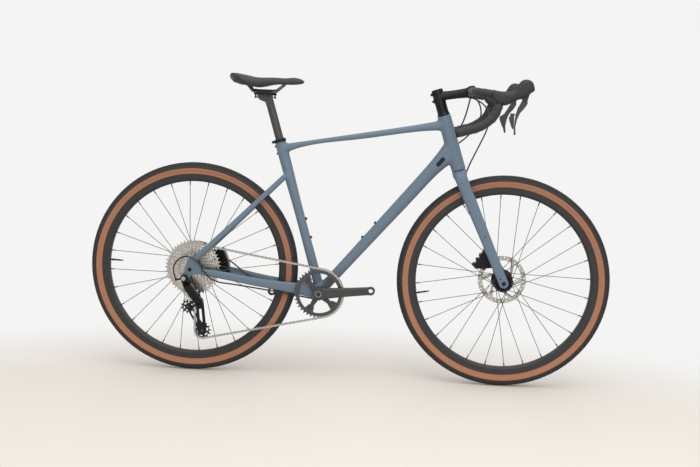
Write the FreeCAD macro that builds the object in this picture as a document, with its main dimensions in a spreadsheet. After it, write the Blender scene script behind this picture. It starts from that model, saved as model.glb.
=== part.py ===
"""Gravel bicycle: one sheet of sizes drives every named piece, written to parts as one file each."""
import FreeCAD
import Part
import Sketcher
import math
import os

Vector = FreeCAD.Vector
Placement = FreeCAD.Placement
Rotation = FreeCAD.Rotation

SIDE = Vector(0, 1, 0)
UP = Vector(0, 0, 1)
FORWARD = Vector(1, 0, 0)

# Alias, value in millimetres or degrees, meaning. The ground is z = 0 and x = 0 is half way between the axles.
SIZES = [
    ("wheelbase", 1030, "axle to axle"),
    ("wheel_radius", 350, "outside of the tyre"),
    ("bracket_x", -88, "crank axis, fore and aft"),
    ("bracket_z", 287, "crank axis height"),
    ("head_angle", 72, "steering axis from the ground"),
    ("seat_angle", 73, "seat tube from the ground"),
    ("fork_offset", 43, "front axle ahead of the steering axis"),
    ("fork_length", 391, "axle to crown race along the steering axis"),
    ("running_gap", 0.4, "gap between pieces that turn on each other"),
    ("seat_gap", 0.1, "gap between pieces held still in each other"),
    ("wall", 2.2, "wall of the main tubes"),
    # Head tube and headset
    ("head_length", 185, "head tube length"),
    ("head_top_radius", 22, "head tube at its top"),
    ("head_mid_radius", 23.2, "head tube half way"),
    ("head_foot_radius", 23.6, "head tube at its foot"),
    ("head_bore", 19.2, "bore of the head tube"),
    ("bearing_height", 8, "headset bearing"),
    ("steerer_radius", 14.3, "fork steerer"),
    # Main tubes
    ("top_tube_at_seat", 496, "top tube on the seat tube axis, from the crank axis"),
    ("top_tube_below_head", 28, "top tube on the steering axis, below the head tube top"),
    ("top_tube_width", 38, "across the bike"),
    ("top_tube_height", 18.5, "at its thinnest"),
    ("top_tube_seat_height", 36, "root at the seat tube"),
    ("top_tube_head_height", 37, "root at the head tube"),
    ("down_tube_above_foot", 76, "down tube on the steering axis, above the head tube foot"),
    ("down_tube_width", 46, "across the bike"),
    ("down_tube_foot_height", 34.4, "at the crank shell"),
    ("down_tube_bolt_height", 36.4, "at the lower bottle bolt"),
    ("low_bottle_bolt", 230, "lower bolt of the down tube from the crank axis"),
    ("seat_bottle_bolt", 183, "lower bolt of the seat tube from the crank axis"),
    ("bottle_spacing", 64, "bottle bolts apart"),
    ("down_tube_neck_height", 45, "before the head tube"),
    ("down_tube_head_height", 74, "root at the head tube"),
    ("seat_tube_length", 524, "crank axis to the open top"),
    ("seat_tube_low_depth", 30, "fore and aft, low"),
    ("seat_tube_top_depth", 35.5, "fore and aft, top"),
    ("seat_tube_width", 35, "across the bike"),
    ("shell_radius", 22, "crank shell"),
    ("shell_width", 68, "crank shell"),
    # Stays and dropouts
    ("stay_drop_y", 72, "stay centre at the dropout"),
    ("chainstay_drop_height", 20, "at the dropout"),
    ("chainstay_mid_height", 27, "half way"),
    ("chainstay_root_height", 42, "at the crank shell"),
    ("chainstay_width", 16, "across the bike"),
    ("seatstay_height", 17.5, "seen from the side"),
    ("seatstay_width", 11.5, "across the bike"),
    ("seatstay_on_seat", 408, "seatstay root on the seat tube axis, from the crank axis"),
    ("dropout_inner_y", 66.5, "inner face"),
    ("dropout_thickness", 12, "plate"),
    ("rear_spacing", 142, "between the rear hub seats"),
    ("front_spacing", 100, "between the front hub seats"),
    ("axle_radius", 6, "through axle"),
    ("hanger_x", -16, "derailleur bolt from the rear axle"),
    ("hanger_z", -28, "derailleur bolt from the rear axle"),
    # Seat
    ("post_radius", 13.6, "seatpost"),
    ("post_insert", 110, "post inside the seat tube"),
    ("post_top", 664, "post top from the crank axis"),
    ("collar_height", 10.5, "seat collar"),
    ("rail_radius", 3.5, "saddle rails"),
    ("rail_z", 940, "saddle rail height"),
    ("saddle_tail_x", -409, "saddle tail"),
    ("saddle_length", 244, "tail to nose"),
    ("saddle_width", 146, "widest"),
    ("saddle_top_z", 990, "saddle height"),
    # Steering
    ("crown_height", 26, "fork crown"),
    ("crown_width", 92, "fork crown across the bike"),
    ("leg_top_depth", 43.5, "fork leg at the crown"),
    ("leg_low_depth", 31, "fork leg at the axle"),
    ("leg_top_width", 22, "fork leg at the crown"),
    ("leg_low_width", 14, "fork leg at the axle"),
    ("leg_top_y", 35, "fork leg centre at the crown"),
    ("eyelet_radius", 2.1, "threaded fork eyelets"),
    ("stem_length", 107, "steering axis to bar centre"),
    ("stem_rise", 9.5, "stem above level"),
    ("stem_up_steerer", 642, "stem centre along the steering axis"),
    ("stem_clamp_height", 40, "on the steerer"),
    ("stem_arm_height", 28.5, "stem half way"),
    ("stem_clamp_radius", 19, "on the steerer"),
    ("bar_clamp_radius", 15.9, "bar at the stem"),
    ("bar_clamp_width", 44, "stem faceplate"),
    ("bar_radius", 12, "bar"),
    ("bar_half_width", 210, "bar centre to hood centre"),
    ("bar_reach", 88, "bar centre to the hook corner"),
    ("bar_drop", 131.5, "bar centre to the drop end"),
    ("bar_flare", 32, "drop ends wider than the hoods"),
    ("tape_radius", 13.8, "taped bar"),
    ("hood_width", 36, "lever body"),
    ("lever_thickness", 11, "brake lever blade"),
    ("hose_radius", 2.5, "hoses and housings"),
    # Wheels
    ("tyre_half_width", 19.5, "tyre section"),
    ("tyre_wall", 2.6, "tyre casing"),
    ("rim_flange_radius", 316.5, "rim edge"),
    ("rim_inner_radius", 287, "rim inside"),
    ("rim_half_width", 14, "rim at its flange"),
    ("rim_nose_half", 8, "rim at its inside"),
    ("spoke_radius", 1, "spokes"),
    ("spokes_per_side", 14, "on each flange"),
    ("crossings", 2, "spoke crossings"),
    ("front_valve_angle", 190.5, "front valve from straight ahead, upwards"),
    ("rear_valve_angle", 178, "rear valve from straight ahead, upwards"),
    ("front_flange_radius", 33, "front hub flange"),
    ("front_flange_y", 26, "front hub flange"),
    ("rear_flange_radius", 29, "rear hub flange"),
    ("rear_flange_y", 19, "rear hub flange, drive side"),
    ("rear_disc_flange_y", 30, "rear hub flange, rotor side"),
    ("flange_thickness", 3, "hub flanges"),
    ("rotor_radius", 80, "brake rotors"),
    ("rotor_thickness", 1.8, "brake rotors"),
    ("front_rotor_y", 36, "front rotor plane"),
    ("rear_rotor_y", 56, "rear rotor plane"),
    # Drivetrain
    ("chain_pitch", 12.7, "chain"),
    ("roller_radius", 3.85, "chain"),
    ("ring_teeth", 40, "chainring"),
    ("ring_y", -48, "chainring plane"),
    ("ring_thickness", 1.8, "chainring"),
    ("crank_length", 172.5, "crank axis to pedal axis"),
    ("crank_angle", 6.4, "right crank above level"),
    ("crank_boss_radius", 21, "at the spindle"),
    ("pedal_boss_radius", 14, "at the pedal"),
    ("pedal_hole_radius", 7.1, "pedal thread"),
    ("spindle_radius", 12, "crank spindle"),
    ("small_cog_y", -64.5, "smallest cog plane"),
    ("cog_step", 3.5, "cog to cog"),
    ("cog_thickness", 1.5, "cogs"),
    ("chain_cog", 10, "cog under the chain, counted from the smallest as 0"),
    ("guide_teeth", 11, "guide pulley"),
    ("tension_teeth", 13, "tension pulley"),
    ("guide_x", -12.4, "guide pulley from the rear axle"),
    ("guide_z", -131.8, "guide pulley from the rear axle"),
    ("knuckle_x", 27, "cage pivot from the rear axle"),
    ("knuckle_z", -111, "cage pivot from the rear axle"),
    ("cage_reach", 94, "guide pulley to tension pulley"),
    ("cage_angle", -56, "tension pulley from the guide pulley, from level"),
]
COG_TEETH = (10, 12, 14, 16, 18, 21, 24, 28, 32, 36, 40, 45)

doc = FreeCAD.newDocument("GravelBike")
sheet = doc.addObject("Spreadsheet::Sheet", "Sizes")
for row, (alias, value, meaning) in enumerate(SIZES, start=1):
    sheet.set("A%d" % row, meaning)
    sheet.set("B%d" % row, str(value))
    sheet.setAlias("B%d" % row, alias)
doc.recompute()


class Size:
    """A number from the sheet together with the expression that gives it."""

    def __init__(self, value, text):
        self.value = float(value)
        self.text = text

    def join(self, other, sign, result):
        text = other.text if isinstance(other, Size) else "(%r)" % float(other)
        return Size(result, "(%s %s %s)" % (self.text, sign, text))

    def __add__(self, other):
        return self.join(other, "+", self.value + number(other))

    def __sub__(self, other):
        return self.join(other, "-", self.value - number(other))

    def __mul__(self, other):
        return self.join(other, "*", self.value * number(other))

    def __truediv__(self, other):
        return self.join(other, "/", self.value / number(other))

    def __neg__(self):
        return self * -1

    def __float__(self):
        return self.value


def size(alias):
    """Cell of the sheet by its alias."""
    return Size(sheet.get(alias), "Sizes." + alias)


def number(value):
    """Plain number of a size or of a number."""
    return float(value)


def bind(feature, **values):
    """Sets properties, each bound to its cells when it comes from the sheet."""
    for name, value in values.items():
        if isinstance(value, Size):
            feature.setExpression(name, value.text)
        else:
            setattr(feature, name, value)


def turn(base, axis):
    """Placement that takes the local Y axis onto an axis through a point."""
    return Placement(base, Rotation(SIDE, axis))


def facing(base, direction):
    """Placement of a section plane across a direction: local x is across the bike."""
    return Placement(base, Rotation(SIDE, direction.cross(SIDE), direction, "ZXY"))


def origin_plane(body, role):
    return [item for item in body.Origin.OriginFeatures if item.Role == role][0]


def sketch_on(body, name, plane):
    sketch = body.newObject("Sketcher::SketchObject", name)
    sketch.AttachmentSupport = [(origin_plane(body, plane), "")]
    sketch.MapMode = "FlatFace"
    return sketch


def profile(body, name, plane, corners):
    """Closed outline. A corner is (u, v), or (u, v, (mu, mv)) where an arc through (mu, mv) leads on."""
    sketch = sketch_on(body, name, plane)
    flat = [Vector(number(c[0]), number(c[1]), 0) for c in corners]
    count = len(flat)
    edges, first, last = [], [], []
    for i, corner in enumerate(corners):
        start, end = flat[i], flat[(i + 1) % count]
        ahead = True
        if len(corner) == 3:
            via = Vector(number(corner[2][0]), number(corner[2][1]), 0)
            ahead = (via - start).cross(end - via).z > 0
            edges.append(Part.ArcOfCircle(start, via, end))
        else:
            edges.append(Part.LineSegment(start, end))
        first.append(1 if ahead else 2)
        last.append(2 if ahead else 1)
    sketch.addGeometry(edges, False)
    sketch.addConstraint([Sketcher.Constraint("Coincident", i, last[i], (i + 1) % count, first[(i + 1) % count])
                          for i in range(count)])
    sketch.addConstraint([Sketcher.Constraint("Radius", i, edges[i].Radius) for i in range(count) if len(corners[i]) == 3])
    for i, corner in enumerate(corners):
        for kind, value in (("DistanceX", corner[0]), ("DistanceY", corner[1])):
            index = sketch.addConstraint(Sketcher.Constraint(kind, -1, 1, i, first[i], number(value)))
            if isinstance(value, Size):
                sketch.setExpression("Constraints[%d]" % index, value.text)
    return sketch


def revolve(name, corners, base, axis=SIDE):
    """Turned piece: corners are (radius, distance along the axis)."""
    body = doc.addObject("PartDesign::Body", name)
    sketch = profile(body, name + "_profile", "XY_Plane", corners)
    turned = body.newObject("PartDesign::Revolution", name + "_turned")
    turned.Profile = (sketch, [""])
    turned.ReferenceAxis = (sketch, ["V_Axis"])
    turned.Angle = 360
    body.Placement = turn(base, axis)
    return body


def plate(name, loops, thickness, base, rotation=Rotation()):
    """Flat piece drawn in the side view; it grows from its base towards the right side of the bike."""
    body = doc.addObject("PartDesign::Body", name)
    sketch = sketch_on(body, name + "_outline", "XZ_Plane")
    sketch.addGeometry([edge for loop in loops for edge in loop], False)
    pad = body.newObject("PartDesign::Pad", name + "_pad")
    pad.Profile = (sketch, [""])
    bind(pad, Length=thickness)
    body.Placement = Placement(base, rotation)
    return body


def ring(radius, x=0, z=0):
    """Circle as a loop of a plate outline."""
    return [Part.Circle(Vector(number(x), number(z), 0), UP, number(radius))]


def rounded(points):
    """Closed loop of lines with rounded corners from (x, z, corner radius)."""
    corners = []
    count = len(points)
    for i, (x, z, radius) in enumerate(points):
        here = Vector(x, z, 0)
        back = (Vector(*points[i - 1][:2], 0) - here).normalize()
        ahead = (Vector(*points[(i + 1) % count][:2], 0) - here).normalize()
        half = math.acos(max(-1, min(1, back * ahead))) / 2
        if radius <= 0 or half > 1.55:
            corners.append((here, here, here))
            continue
        reach = radius / math.tan(half)
        middle = here + (back + ahead).normalize() * (radius / math.sin(half) - radius)
        corners.append((here + back * reach, middle, here + ahead * reach))
    edges = []
    for i, (start, middle, end) in enumerate(corners):
        if (end - start).Length > 1e-6:
            edges.append(Part.Arc(start, middle, end))
        following = corners[(i + 1) % count][0]
        if (following - end).Length > 1e-6:
            edges.append(Part.LineSegment(end, following))
    return edges


def section(name, place, width, height, corner=0.44):
    """Rounded box outline across a tube; width lies across the bike."""
    sketch = doc.addObject("Sketcher::SketchObject", name)
    half_w, half_h = number(width) / 2, number(height) / 2
    radius = min(half_w, half_h) * 2 * corner
    spots = [(-half_w, -half_h, radius), (half_w, -half_h, radius), (half_w, half_h, radius), (-half_w, half_h, radius)]
    loop = rounded(spots)
    lines, arcs = loop[1::2], loop[0::2]
    arcs = arcs[1:] + arcs[:1]
    sketch.addGeometry(lines + arcs, False)
    rule = Sketcher.Constraint
    rules = [rule("Horizontal", 0), rule("Vertical", 1), rule("Horizontal", 2), rule("Vertical", 3)]
    for i in range(4):
        rules += [rule("Tangent", i, 2, 4 + i, 1), rule("Tangent", 4 + i, 2, (i + 1) % 4, 1)]
    rules += [rule("Equal", 4, 5), rule("Equal", 4, 6), rule("Symmetric", 4, 3, 6, 3, -1, 1), rule("Radius", 4, radius)]
    sketch.addConstraint(rules)
    for kind, a, b, value in (("DistanceX", 3, 1, width), ("DistanceY", 0, 2, height)):
        index = sketch.addConstraint(rule(kind, a, 1, b, 1, number(value)))
        if isinstance(value, Size):
            sketch.setExpression("Constraints[%d]" % index, value.text)
    sketch.Placement = place
    return sketch


def tube(name, direction, stations, corner=0.44):
    """Shaped tube through stations of (point, width, height), or with a direction of its own as a fourth value."""
    loft = doc.addObject("Part::Loft", name)
    loft.Sections = [section("%s_section_%d" % (name, i), facing(item[0], item[3] if len(item) > 3 else direction),
                             item[1], item[2], corner) for i, item in enumerate(stations)]
    loft.Solid = True
    loft.MaxDegree = 3
    return loft


def rod(name, start, end, radius):
    """Round bar between two points."""
    bar = doc.addObject("Part::Cylinder", name)
    bind(bar, Radius=radius, Height=(end - start).Length)
    bar.Placement = Placement(start, Rotation(UP, end - start))
    return bar


def box(name, width, height, depth, base, rotation):
    """Plain block standing on the middle of its back face, along the local x axis."""
    block = doc.addObject("Part::Box", name)
    bind(block, Length=depth, Width=width, Height=height)
    centred = Placement(Vector(0, -number(width) / 2, -number(height) / 2), Rotation())
    block.Placement = Placement(base, rotation).multiply(centred)
    return block


def path_wire(points, bend):
    """Straight runs joined by tangent arcs; a bend is one radius or one for each inner point."""
    edges = []
    start = points[0]
    for i in range(1, len(points) - 1):
        here = points[i]
        radius = bend[i - 1] if isinstance(bend, (list, tuple)) else bend
        back = (points[i - 1] - here).normalize()
        ahead = (points[i + 1] - here).normalize()
        half = math.acos(max(-1, min(1, back * ahead))) / 2
        reach = radius / math.tan(half)
        middle = here + (back + ahead).normalize() * (radius / math.sin(half) - radius)
        edges.append(Part.LineSegment(start, here + back * reach).toShape())
        edges.append(Part.Arc(here + back * reach, middle, here + ahead * reach).toShape())
        start = here + ahead * reach
    edges.append(Part.LineSegment(start, points[-1]).toShape())
    return Part.Wire(edges)


def cord(name, points, bend, radius):
    """Round cord, hose or bent tube along a path."""
    path = doc.addObject("Part::Feature", name + "_path")
    path.Shape = path_wire(points, bend)
    circle = doc.addObject("Part::Circle", name + "_section")
    bind(circle, Radius=radius)
    circle.Placement = Placement(points[0], Rotation(UP, points[1] - points[0]))
    sweep = doc.addObject("Part::Sweep", name)
    sweep.Sections = [circle]
    sweep.Spine = (path, ["Edge%d" % (i + 1) for i in range(len(path.Shape.Edges))])
    sweep.Solid = True
    sweep.Frenet = False
    return sweep


def fuse(name, *pieces):
    joined = doc.addObject("Part::MultiFuse", name)
    joined.Shapes = list(pieces)
    return joined


def cut(name, base, *tools):
    """Base with every tool taken out of it."""
    taken = doc.addObject("Part::Cut", name)
    taken.Base = base
    taken.Tool = tools[0] if len(tools) == 1 else fuse(name + "_tools", *tools)
    return taken


def mirror(name, piece):
    """The same piece on the other side of the bike."""
    other = doc.addObject("Part::Mirroring", name)
    other.Source = piece
    other.Normal = SIDE
    return other


def feature(name, shape):
    """Piece whose shape is worked out here from the sheet's sizes."""
    piece = doc.addObject("Part::Feature", name)
    piece.Shape = shape
    return piece


NODES = []


def node(label, *pieces):
    """Named piece of the row: one object, or several kept as separate solids."""
    if len(pieces) == 1:
        piece = pieces[0]
    else:
        piece = doc.addObject("Part::Compound", label + "_set")
        piece.Links = list(pieces)
    piece.Label = label
    NODES.append(piece)
    return piece


# Shared points and directions
def value(alias):
    return float(sheet.get(alias))


HEAD = math.radians(value("head_angle"))
SEAT = math.radians(value("seat_angle"))
STEER_UP = Vector(-math.cos(HEAD), 0, math.sin(HEAD))
STEER_AHEAD = Vector(math.sin(HEAD), 0, math.cos(HEAD))
SEAT_UP = Vector(-math.cos(SEAT), 0, math.sin(SEAT))
SEAT_AHEAD = Vector(math.sin(SEAT), 0, math.cos(SEAT))
FRONT_AXLE = Vector(value("wheelbase") / 2, 0, value("wheel_radius"))
REAR_AXLE = Vector(-value("wheelbase") / 2, 0, value("wheel_radius"))
BRACKET = Vector(value("bracket_x"), 0, value("bracket_z"))
STEER_FOOT = FRONT_AXLE - STEER_AHEAD * value("fork_offset")
HEAD_FOOT = value("fork_length") + 1.2
HEAD_TOP = HEAD_FOOT + value("head_length")


def steer(along, ahead=0, y=0):
    """Point on the steering axis, moved ahead of it and to the left."""
    return STEER_FOOT + STEER_UP * along + STEER_AHEAD * ahead + SIDE * y


def seat(along, ahead=0, y=0):
    """Point on the seat tube axis, moved ahead of it and to the left."""
    return BRACKET + SEAT_UP * along + SEAT_AHEAD * ahead + SIDE * y


# Frame
def frame_points():
    """Ends of the two long tubes."""
    return (seat(value("top_tube_at_seat")), steer(HEAD_TOP - value("top_tube_below_head")),
            steer(HEAD_FOOT + value("down_tube_above_foot")))


TOP_BACK, TOP_FRONT, DOWN_FRONT = frame_points()
TOP_AHEAD = (TOP_FRONT - TOP_BACK).normalize()
DOWN_AHEAD = (DOWN_FRONT - BRACKET).normalize()


def between(start, end, part, shift=0):
    """Point part of the way along a tube, moved up square to it."""
    ahead = (end - start).normalize()
    return start + (end - start) * part + ahead.cross(SIDE) * shift


def bottle_bolts():
    """Where the two bottle bolts lie along the down tube, as parts of its length."""
    length = (DOWN_FRONT - BRACKET).Length
    return value("low_bottle_bolt") / length, (value("low_bottle_bolt") + value("bottle_spacing")) / length


def hollow(name, direction, stations, *neighbours):
    """Tube with the wall from the sheet, shaped to fit against its neighbours."""
    wall = size("wall") * 2
    inside = [(item[0], item[1] - wall, item[2] - wall) for item in stations]
    return cut(name + "_fitted", tube(name + "_outside", direction, stations), tube(name + "_inside", direction, inside),
               *neighbours)


def build_front_triangle():
    head_solid = revolve("head_solid", [
        (0, 0), (size("head_foot_radius"), 0), (size("head_mid_radius"), size("head_length") * 0.35),
        (size("head_mid_radius"), size("head_length") * 0.6), (size("head_top_radius"), size("head_length")),
        (0, size("head_length"))], steer(HEAD_FOOT), STEER_UP)
    node("head_tube", cut("head_bored", head_solid, rod("head_bore_tool", steer(HEAD_FOOT - 5), steer(HEAD_TOP + 5),
                                                        size("head_bore"))))
    shell_half = value("shell_width") / 2
    shell_solid = rod("shell_solid", BRACKET - SIDE * shell_half, BRACKET + SIDE * shell_half, size("shell_radius"))
    node("bottom_bracket_shell", cut("shell_bored", shell_solid, rod(
        "shell_bore", BRACKET - SIDE * (shell_half + 5), BRACKET + SIDE * (shell_half + 5), size("shell_radius") - 3.8)))
    low, top = size("seat_tube_low_depth"), size("seat_tube_top_depth")
    width, length = size("seat_tube_width"), value("seat_tube_length")
    seat_solid = tube("seat_solid", SEAT_UP, [
        (seat(4), width, low), (seat(length * 0.3), width, low), (seat(length * 0.58), width, low),
        (seat(length * 0.8), width, top), (seat(length), width, top)])
    seat_bore = rod("seat_bore", seat(60), seat(length + 5), size("post_radius") + size("seat_gap"))
    node("seat_tube", cut("seat_tube_bored", seat_solid, seat_bore, shell_solid))
    wide, thin = size("top_tube_width"), size("top_tube_height")
    node("top_tube", hollow("top_tube", TOP_AHEAD, [
        (between(TOP_BACK, TOP_FRONT, 0.0, -8), wide - 4, size("top_tube_seat_height")),
        (between(TOP_BACK, TOP_FRONT, 0.045, -3.4), wide - 3, thin * 1.4),
        (between(TOP_BACK, TOP_FRONT, 0.12, 0.2), wide - 2, thin),
        (between(TOP_BACK, TOP_FRONT, 0.45, 0.4), wide, thin * 1.03),
        (between(TOP_BACK, TOP_FRONT, 0.72, 0), wide, thin * 1.12),
        (between(TOP_BACK, TOP_FRONT, 0.9, -1), wide, thin * 1.44),
        (between(TOP_BACK, TOP_FRONT, 1.0, -4), wide, size("top_tube_head_height"))], head_solid, seat_solid))
    wide = size("down_tube_width")
    foot, neck = size("down_tube_foot_height"), size("down_tube_neck_height")
    low_bolt, high_bolt = bottle_bolts()
    ahead_of_head = box("ahead_of_head", wide * 2, size("head_length") * 1.6, 70,
                        steer((HEAD_FOOT + HEAD_TOP) / 2), Rotation(SIDE, value("head_angle") - 90))
    node("down_tube", hollow("down_tube", DOWN_AHEAD, [
        (between(BRACKET, DOWN_FRONT, 0.02), wide - 2, foot), (between(BRACKET, DOWN_FRONT, 0.2), wide, foot),
        (between(BRACKET, DOWN_FRONT, low_bolt), wide, size("down_tube_bolt_height")),
        (between(BRACKET, DOWN_FRONT, high_bolt), wide, size("down_tube_bolt_height") + 1.2),
        (between(BRACKET, DOWN_FRONT, 0.7), wide, neck - 4), (between(BRACKET, DOWN_FRONT, 0.86), wide, neck),
        (between(BRACKET, DOWN_FRONT, 0.93, -2), wide - 1, neck * 1.22),
        (between(BRACKET, DOWN_FRONT, 1.0, -4), wide - 8, size("down_tube_head_height"))],
        head_solid, seat_solid, shell_solid, ahead_of_head))
    return head_solid, seat_solid, shell_solid


def build_stays(seat_solid, shell_solid):
    drop_y = value("stay_drop_y")
    wide = size("chainstay_width")
    plates = []
    for side, name in ((-1, "right"), (1, "left")):
        inner = side * value("dropout_inner_y")
        base = REAR_AXLE + SIDE * (inner if side < 0 else inner + value("dropout_thickness"))
        blank = plate("dropout_blank_" + name, [rounded([
            (-18, 4, 14), (-5, 36, 5), (7, 42, 4), (23, 25, 7), (38, 10, 3), (38, -14, 3), (12, -17, 10), (-16, -17, 13)])],
            size("dropout_thickness"), base)
        seat_face = side * value("rear_spacing") / 2
        recess = rod("dropout_recess_" + name, REAR_AXLE + SIDE * (inner - side * 2), REAR_AXLE + SIDE * seat_face, 11.5)
        bore = rod("dropout_bore_" + name, REAR_AXLE + SIDE * inner * 0.9, REAR_AXLE + SIDE * inner * 1.4,
                   size("axle_radius") + size("seat_gap"))
        plates.append((blank, recess, bore))
    hanger_x, hanger_z = value("hanger_x"), value("hanger_z")
    hanger = plate("hanger_blank", [rounded([
        (-15, -4, 3), (hanger_x - 12, hanger_z + 6, 8), (hanger_x - 9, hanger_z - 13, 11), (hanger_x + 11, hanger_z - 9, 9),
        (10, -10, 3)])], 8, REAR_AXLE - SIDE * (value("rear_spacing") / 2))
    bolt_hole = rod("hanger_hole", REAR_AXLE + Vector(hanger_x, -60, hanger_z), REAR_AXLE + Vector(hanger_x, -95, hanger_z), 5)
    right = cut("dropout_right", fuse("dropout_hanger", plates[0][0], hanger), plates[0][1], plates[0][2], bolt_hole)
    left = cut("dropout_left", *plates[1])
    node("dropouts", right, left)

    def stay(x, y, z, width, height):
        return Vector(x, -y, z) + Vector(REAR_AXLE.x, 0, REAR_AXLE.z), width, height

    root = BRACKET - REAR_AXLE
    level = (BRACKET - REAR_AXLE).normalize()
    past_cups = SIDE * (value("shell_width") / 2 + 12)
    cup_room = rod("cup_room", BRACKET - past_cups, BRACKET + past_cups, size("shell_radius"))
    chainstay = cut("chainstay_right", tube("chainstay_blank", level, [
        stay(24, drop_y, -4, wide - 4, size("chainstay_drop_height")),
        stay(75, drop_y - 3.5, -12, wide - 3, size("chainstay_drop_height") + 4),
        stay(135, drop_y - 11, -21, wide - 1, size("chainstay_mid_height") - 1),
        stay(213, 50, -35, wide, size("chainstay_mid_height")),
        stay(295, 37, -46, wide + 1, size("chainstay_root_height") * 0.75),
        stay(337, 32, -51, wide + 2, size("chainstay_root_height") * 0.86),
        stay(root.x - 14, 25.5, root.z, wide + 2, size("chainstay_root_height"))]),
        plates[0][0], cup_room, seat_solid)
    node("chainstays", chainstay, mirror("chainstay_left", chainstay))
    foot = Vector(9, -drop_y, 27)
    join = seat(value("seatstay_on_seat"), 0, -13) - REAR_AXLE
    slope = Vector(join.x - foot.x, 0, join.z - foot.z).normalize()
    thin, tall = size("seatstay_width"), size("seatstay_height")

    def along(part, y):
        spot = foot + (join - foot) * part
        return Vector(spot.x, -y, spot.z) + Vector(REAR_AXLE.x, 0, REAR_AXLE.z)

    seatstay = cut("seatstay_right", tube("seatstay_blank", slope, [
        (along(0, drop_y), thin, tall), (along(0.12, drop_y - 2), thin, tall), (along(0.26, 65), thin, tall),
        (along(0.5, 45), thin, tall), (along(0.76, 29.5), thin, tall), (along(0.93, 19), thin, tall),
        (along(1.0, 14), thin, tall * 1.15)]), plates[0][0], seat_solid)
    node("seatstays", seatstay, mirror("seatstay_left", seatstay))


def build_frame_fittings(seat_solid):
    bore = size("steerer_radius") + size("running_gap")
    high = size("bearing_height")
    rings = [revolve("bearing_%d" % i, [(bore, 0), (size("head_bore"), 0), (size("head_bore"), high), (bore, high)],
                     steer(at), STEER_UP)
             for i, at in enumerate((HEAD_FOOT + 2, HEAD_TOP - 2 - value("bearing_height")))]
    node("headset_bearings", *rings)
    half = size("shell_width") / 2
    inner = size("spindle_radius") + size("running_gap")
    sleeve = size("shell_radius") - 3.8 - size("seat_gap")
    cups = [revolve("cup_" + name, [(inner, half - 14), (sleeve, half - 14), (sleeve, half), (size("shell_radius") - 0.5, half),
                                    (size("shell_radius") - 0.5, half + 9), (size("shell_radius") - 2, half + 11),
                                    (inner, half + 11)], BRACKET, axis) for name, axis in (("left", SIDE), ("right", -SIDE))]
    node("bottom_bracket_cups", *cups)
    length, high = value("seat_tube_length"), value("collar_height")
    collar = cut("collar_ring", tube("collar_blank", SEAT_UP, [
        (seat(length - high), size("seat_tube_width") + 4.4, size("seat_tube_top_depth") + 4.4),
        (seat(length), size("seat_tube_width") + 4.4, size("seat_tube_top_depth") + 4.4)]), seat_solid)
    back = -value("seat_tube_top_depth") / 2 - 5.2
    ear = rod("collar_ear", seat(length - high / 2, back, 9), seat(length - high / 2, back, -9), high * 0.42)
    node("seat_collar", cut("collar_body", fuse("collar_fused", collar, cut("ear_clear", ear, seat_solid)), rod(
        "collar_bolt_hole", seat(length - high / 2, back, 12), seat(length - high / 2, back, 7), 2.6)))
    bolts = []
    front = value("seat_tube_low_depth") / 2
    for i, along in enumerate((value("seat_bottle_bolt"), value("seat_bottle_bolt") + value("bottle_spacing"))):
        bolts.append(revolve("seat_bottle_bolt_%d" % i, [(1.3, 3), (1.3, 0), (5, 0), (5, 1), (4.2, 1), (4.2, 5), (1.3, 5)],
                             seat(along, front + 0.05), SEAT_AHEAD))
    for i, below in enumerate((21, 45)):
        screw = revolve("stay_screw_%d" % i, [(1, 2.4), (1, 0), (3.6, 0), (3.6, 3.8), (2.6, 5), (1.4, 5), (1.4, 2.4)],
                        seat(length - below, 0.8 - value("seat_tube_top_depth") / 2), -SEAT_AHEAD)
        bolts.append(cut("stay_screw_fitted_%d" % i, screw, seat_solid))
    for i, part in enumerate(bottle_bolts()):
        high = value("down_tube_bolt_height") + 1.2 * i
        bolts.append(revolve("down_bottle_bolt_%d" % i, [(1.3, 3), (1.3, 0), (5, 0), (5, 1), (4.2, 1), (4.2, 5), (1.3, 5)],
                             between(BRACKET, DOWN_FRONT, part, high / 2 + 0.2), DOWN_AHEAD.cross(SIDE)))
    spot = between(BRACKET, DOWN_FRONT, 0.908, -1)
    tilt = Rotation(SIDE, -math.degrees(math.atan2(DOWN_AHEAD.z, DOWN_AHEAD.x)))
    half = value("down_tube_width") / 2
    for name, y in (("right", 1.5 - half), ("left", half + 0.8)):
        blank = plate("port_blank_" + name, [rounded([(-18, -6.5, 6), (18, -6.5, 6), (18, 6.5, 6), (-18, 6.5, 6)])], 2.3,
                      spot + SIDE * y, tilt)
        bolts.append(cut("port_" + name, blank, doc.getObject("down_tube_outside")))
    node("frame_fittings", *bolts)
    end = value("rear_spacing") / 2 + 10
    node("rear_axle", revolve("rear_axle_rod", [
        (0, -end), (size("axle_radius"), -end), (size("axle_radius"), end - 1.4), (9.5, end - 1.4), (9.5, end + 3),
        (3.1, end + 3), (3.1, end - 4), (0, end - 4)], REAR_AXLE))


head_solid, seat_solid, shell_solid = build_front_triangle()
build_stays(seat_solid, shell_solid)
build_frame_fittings(seat_solid)


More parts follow.
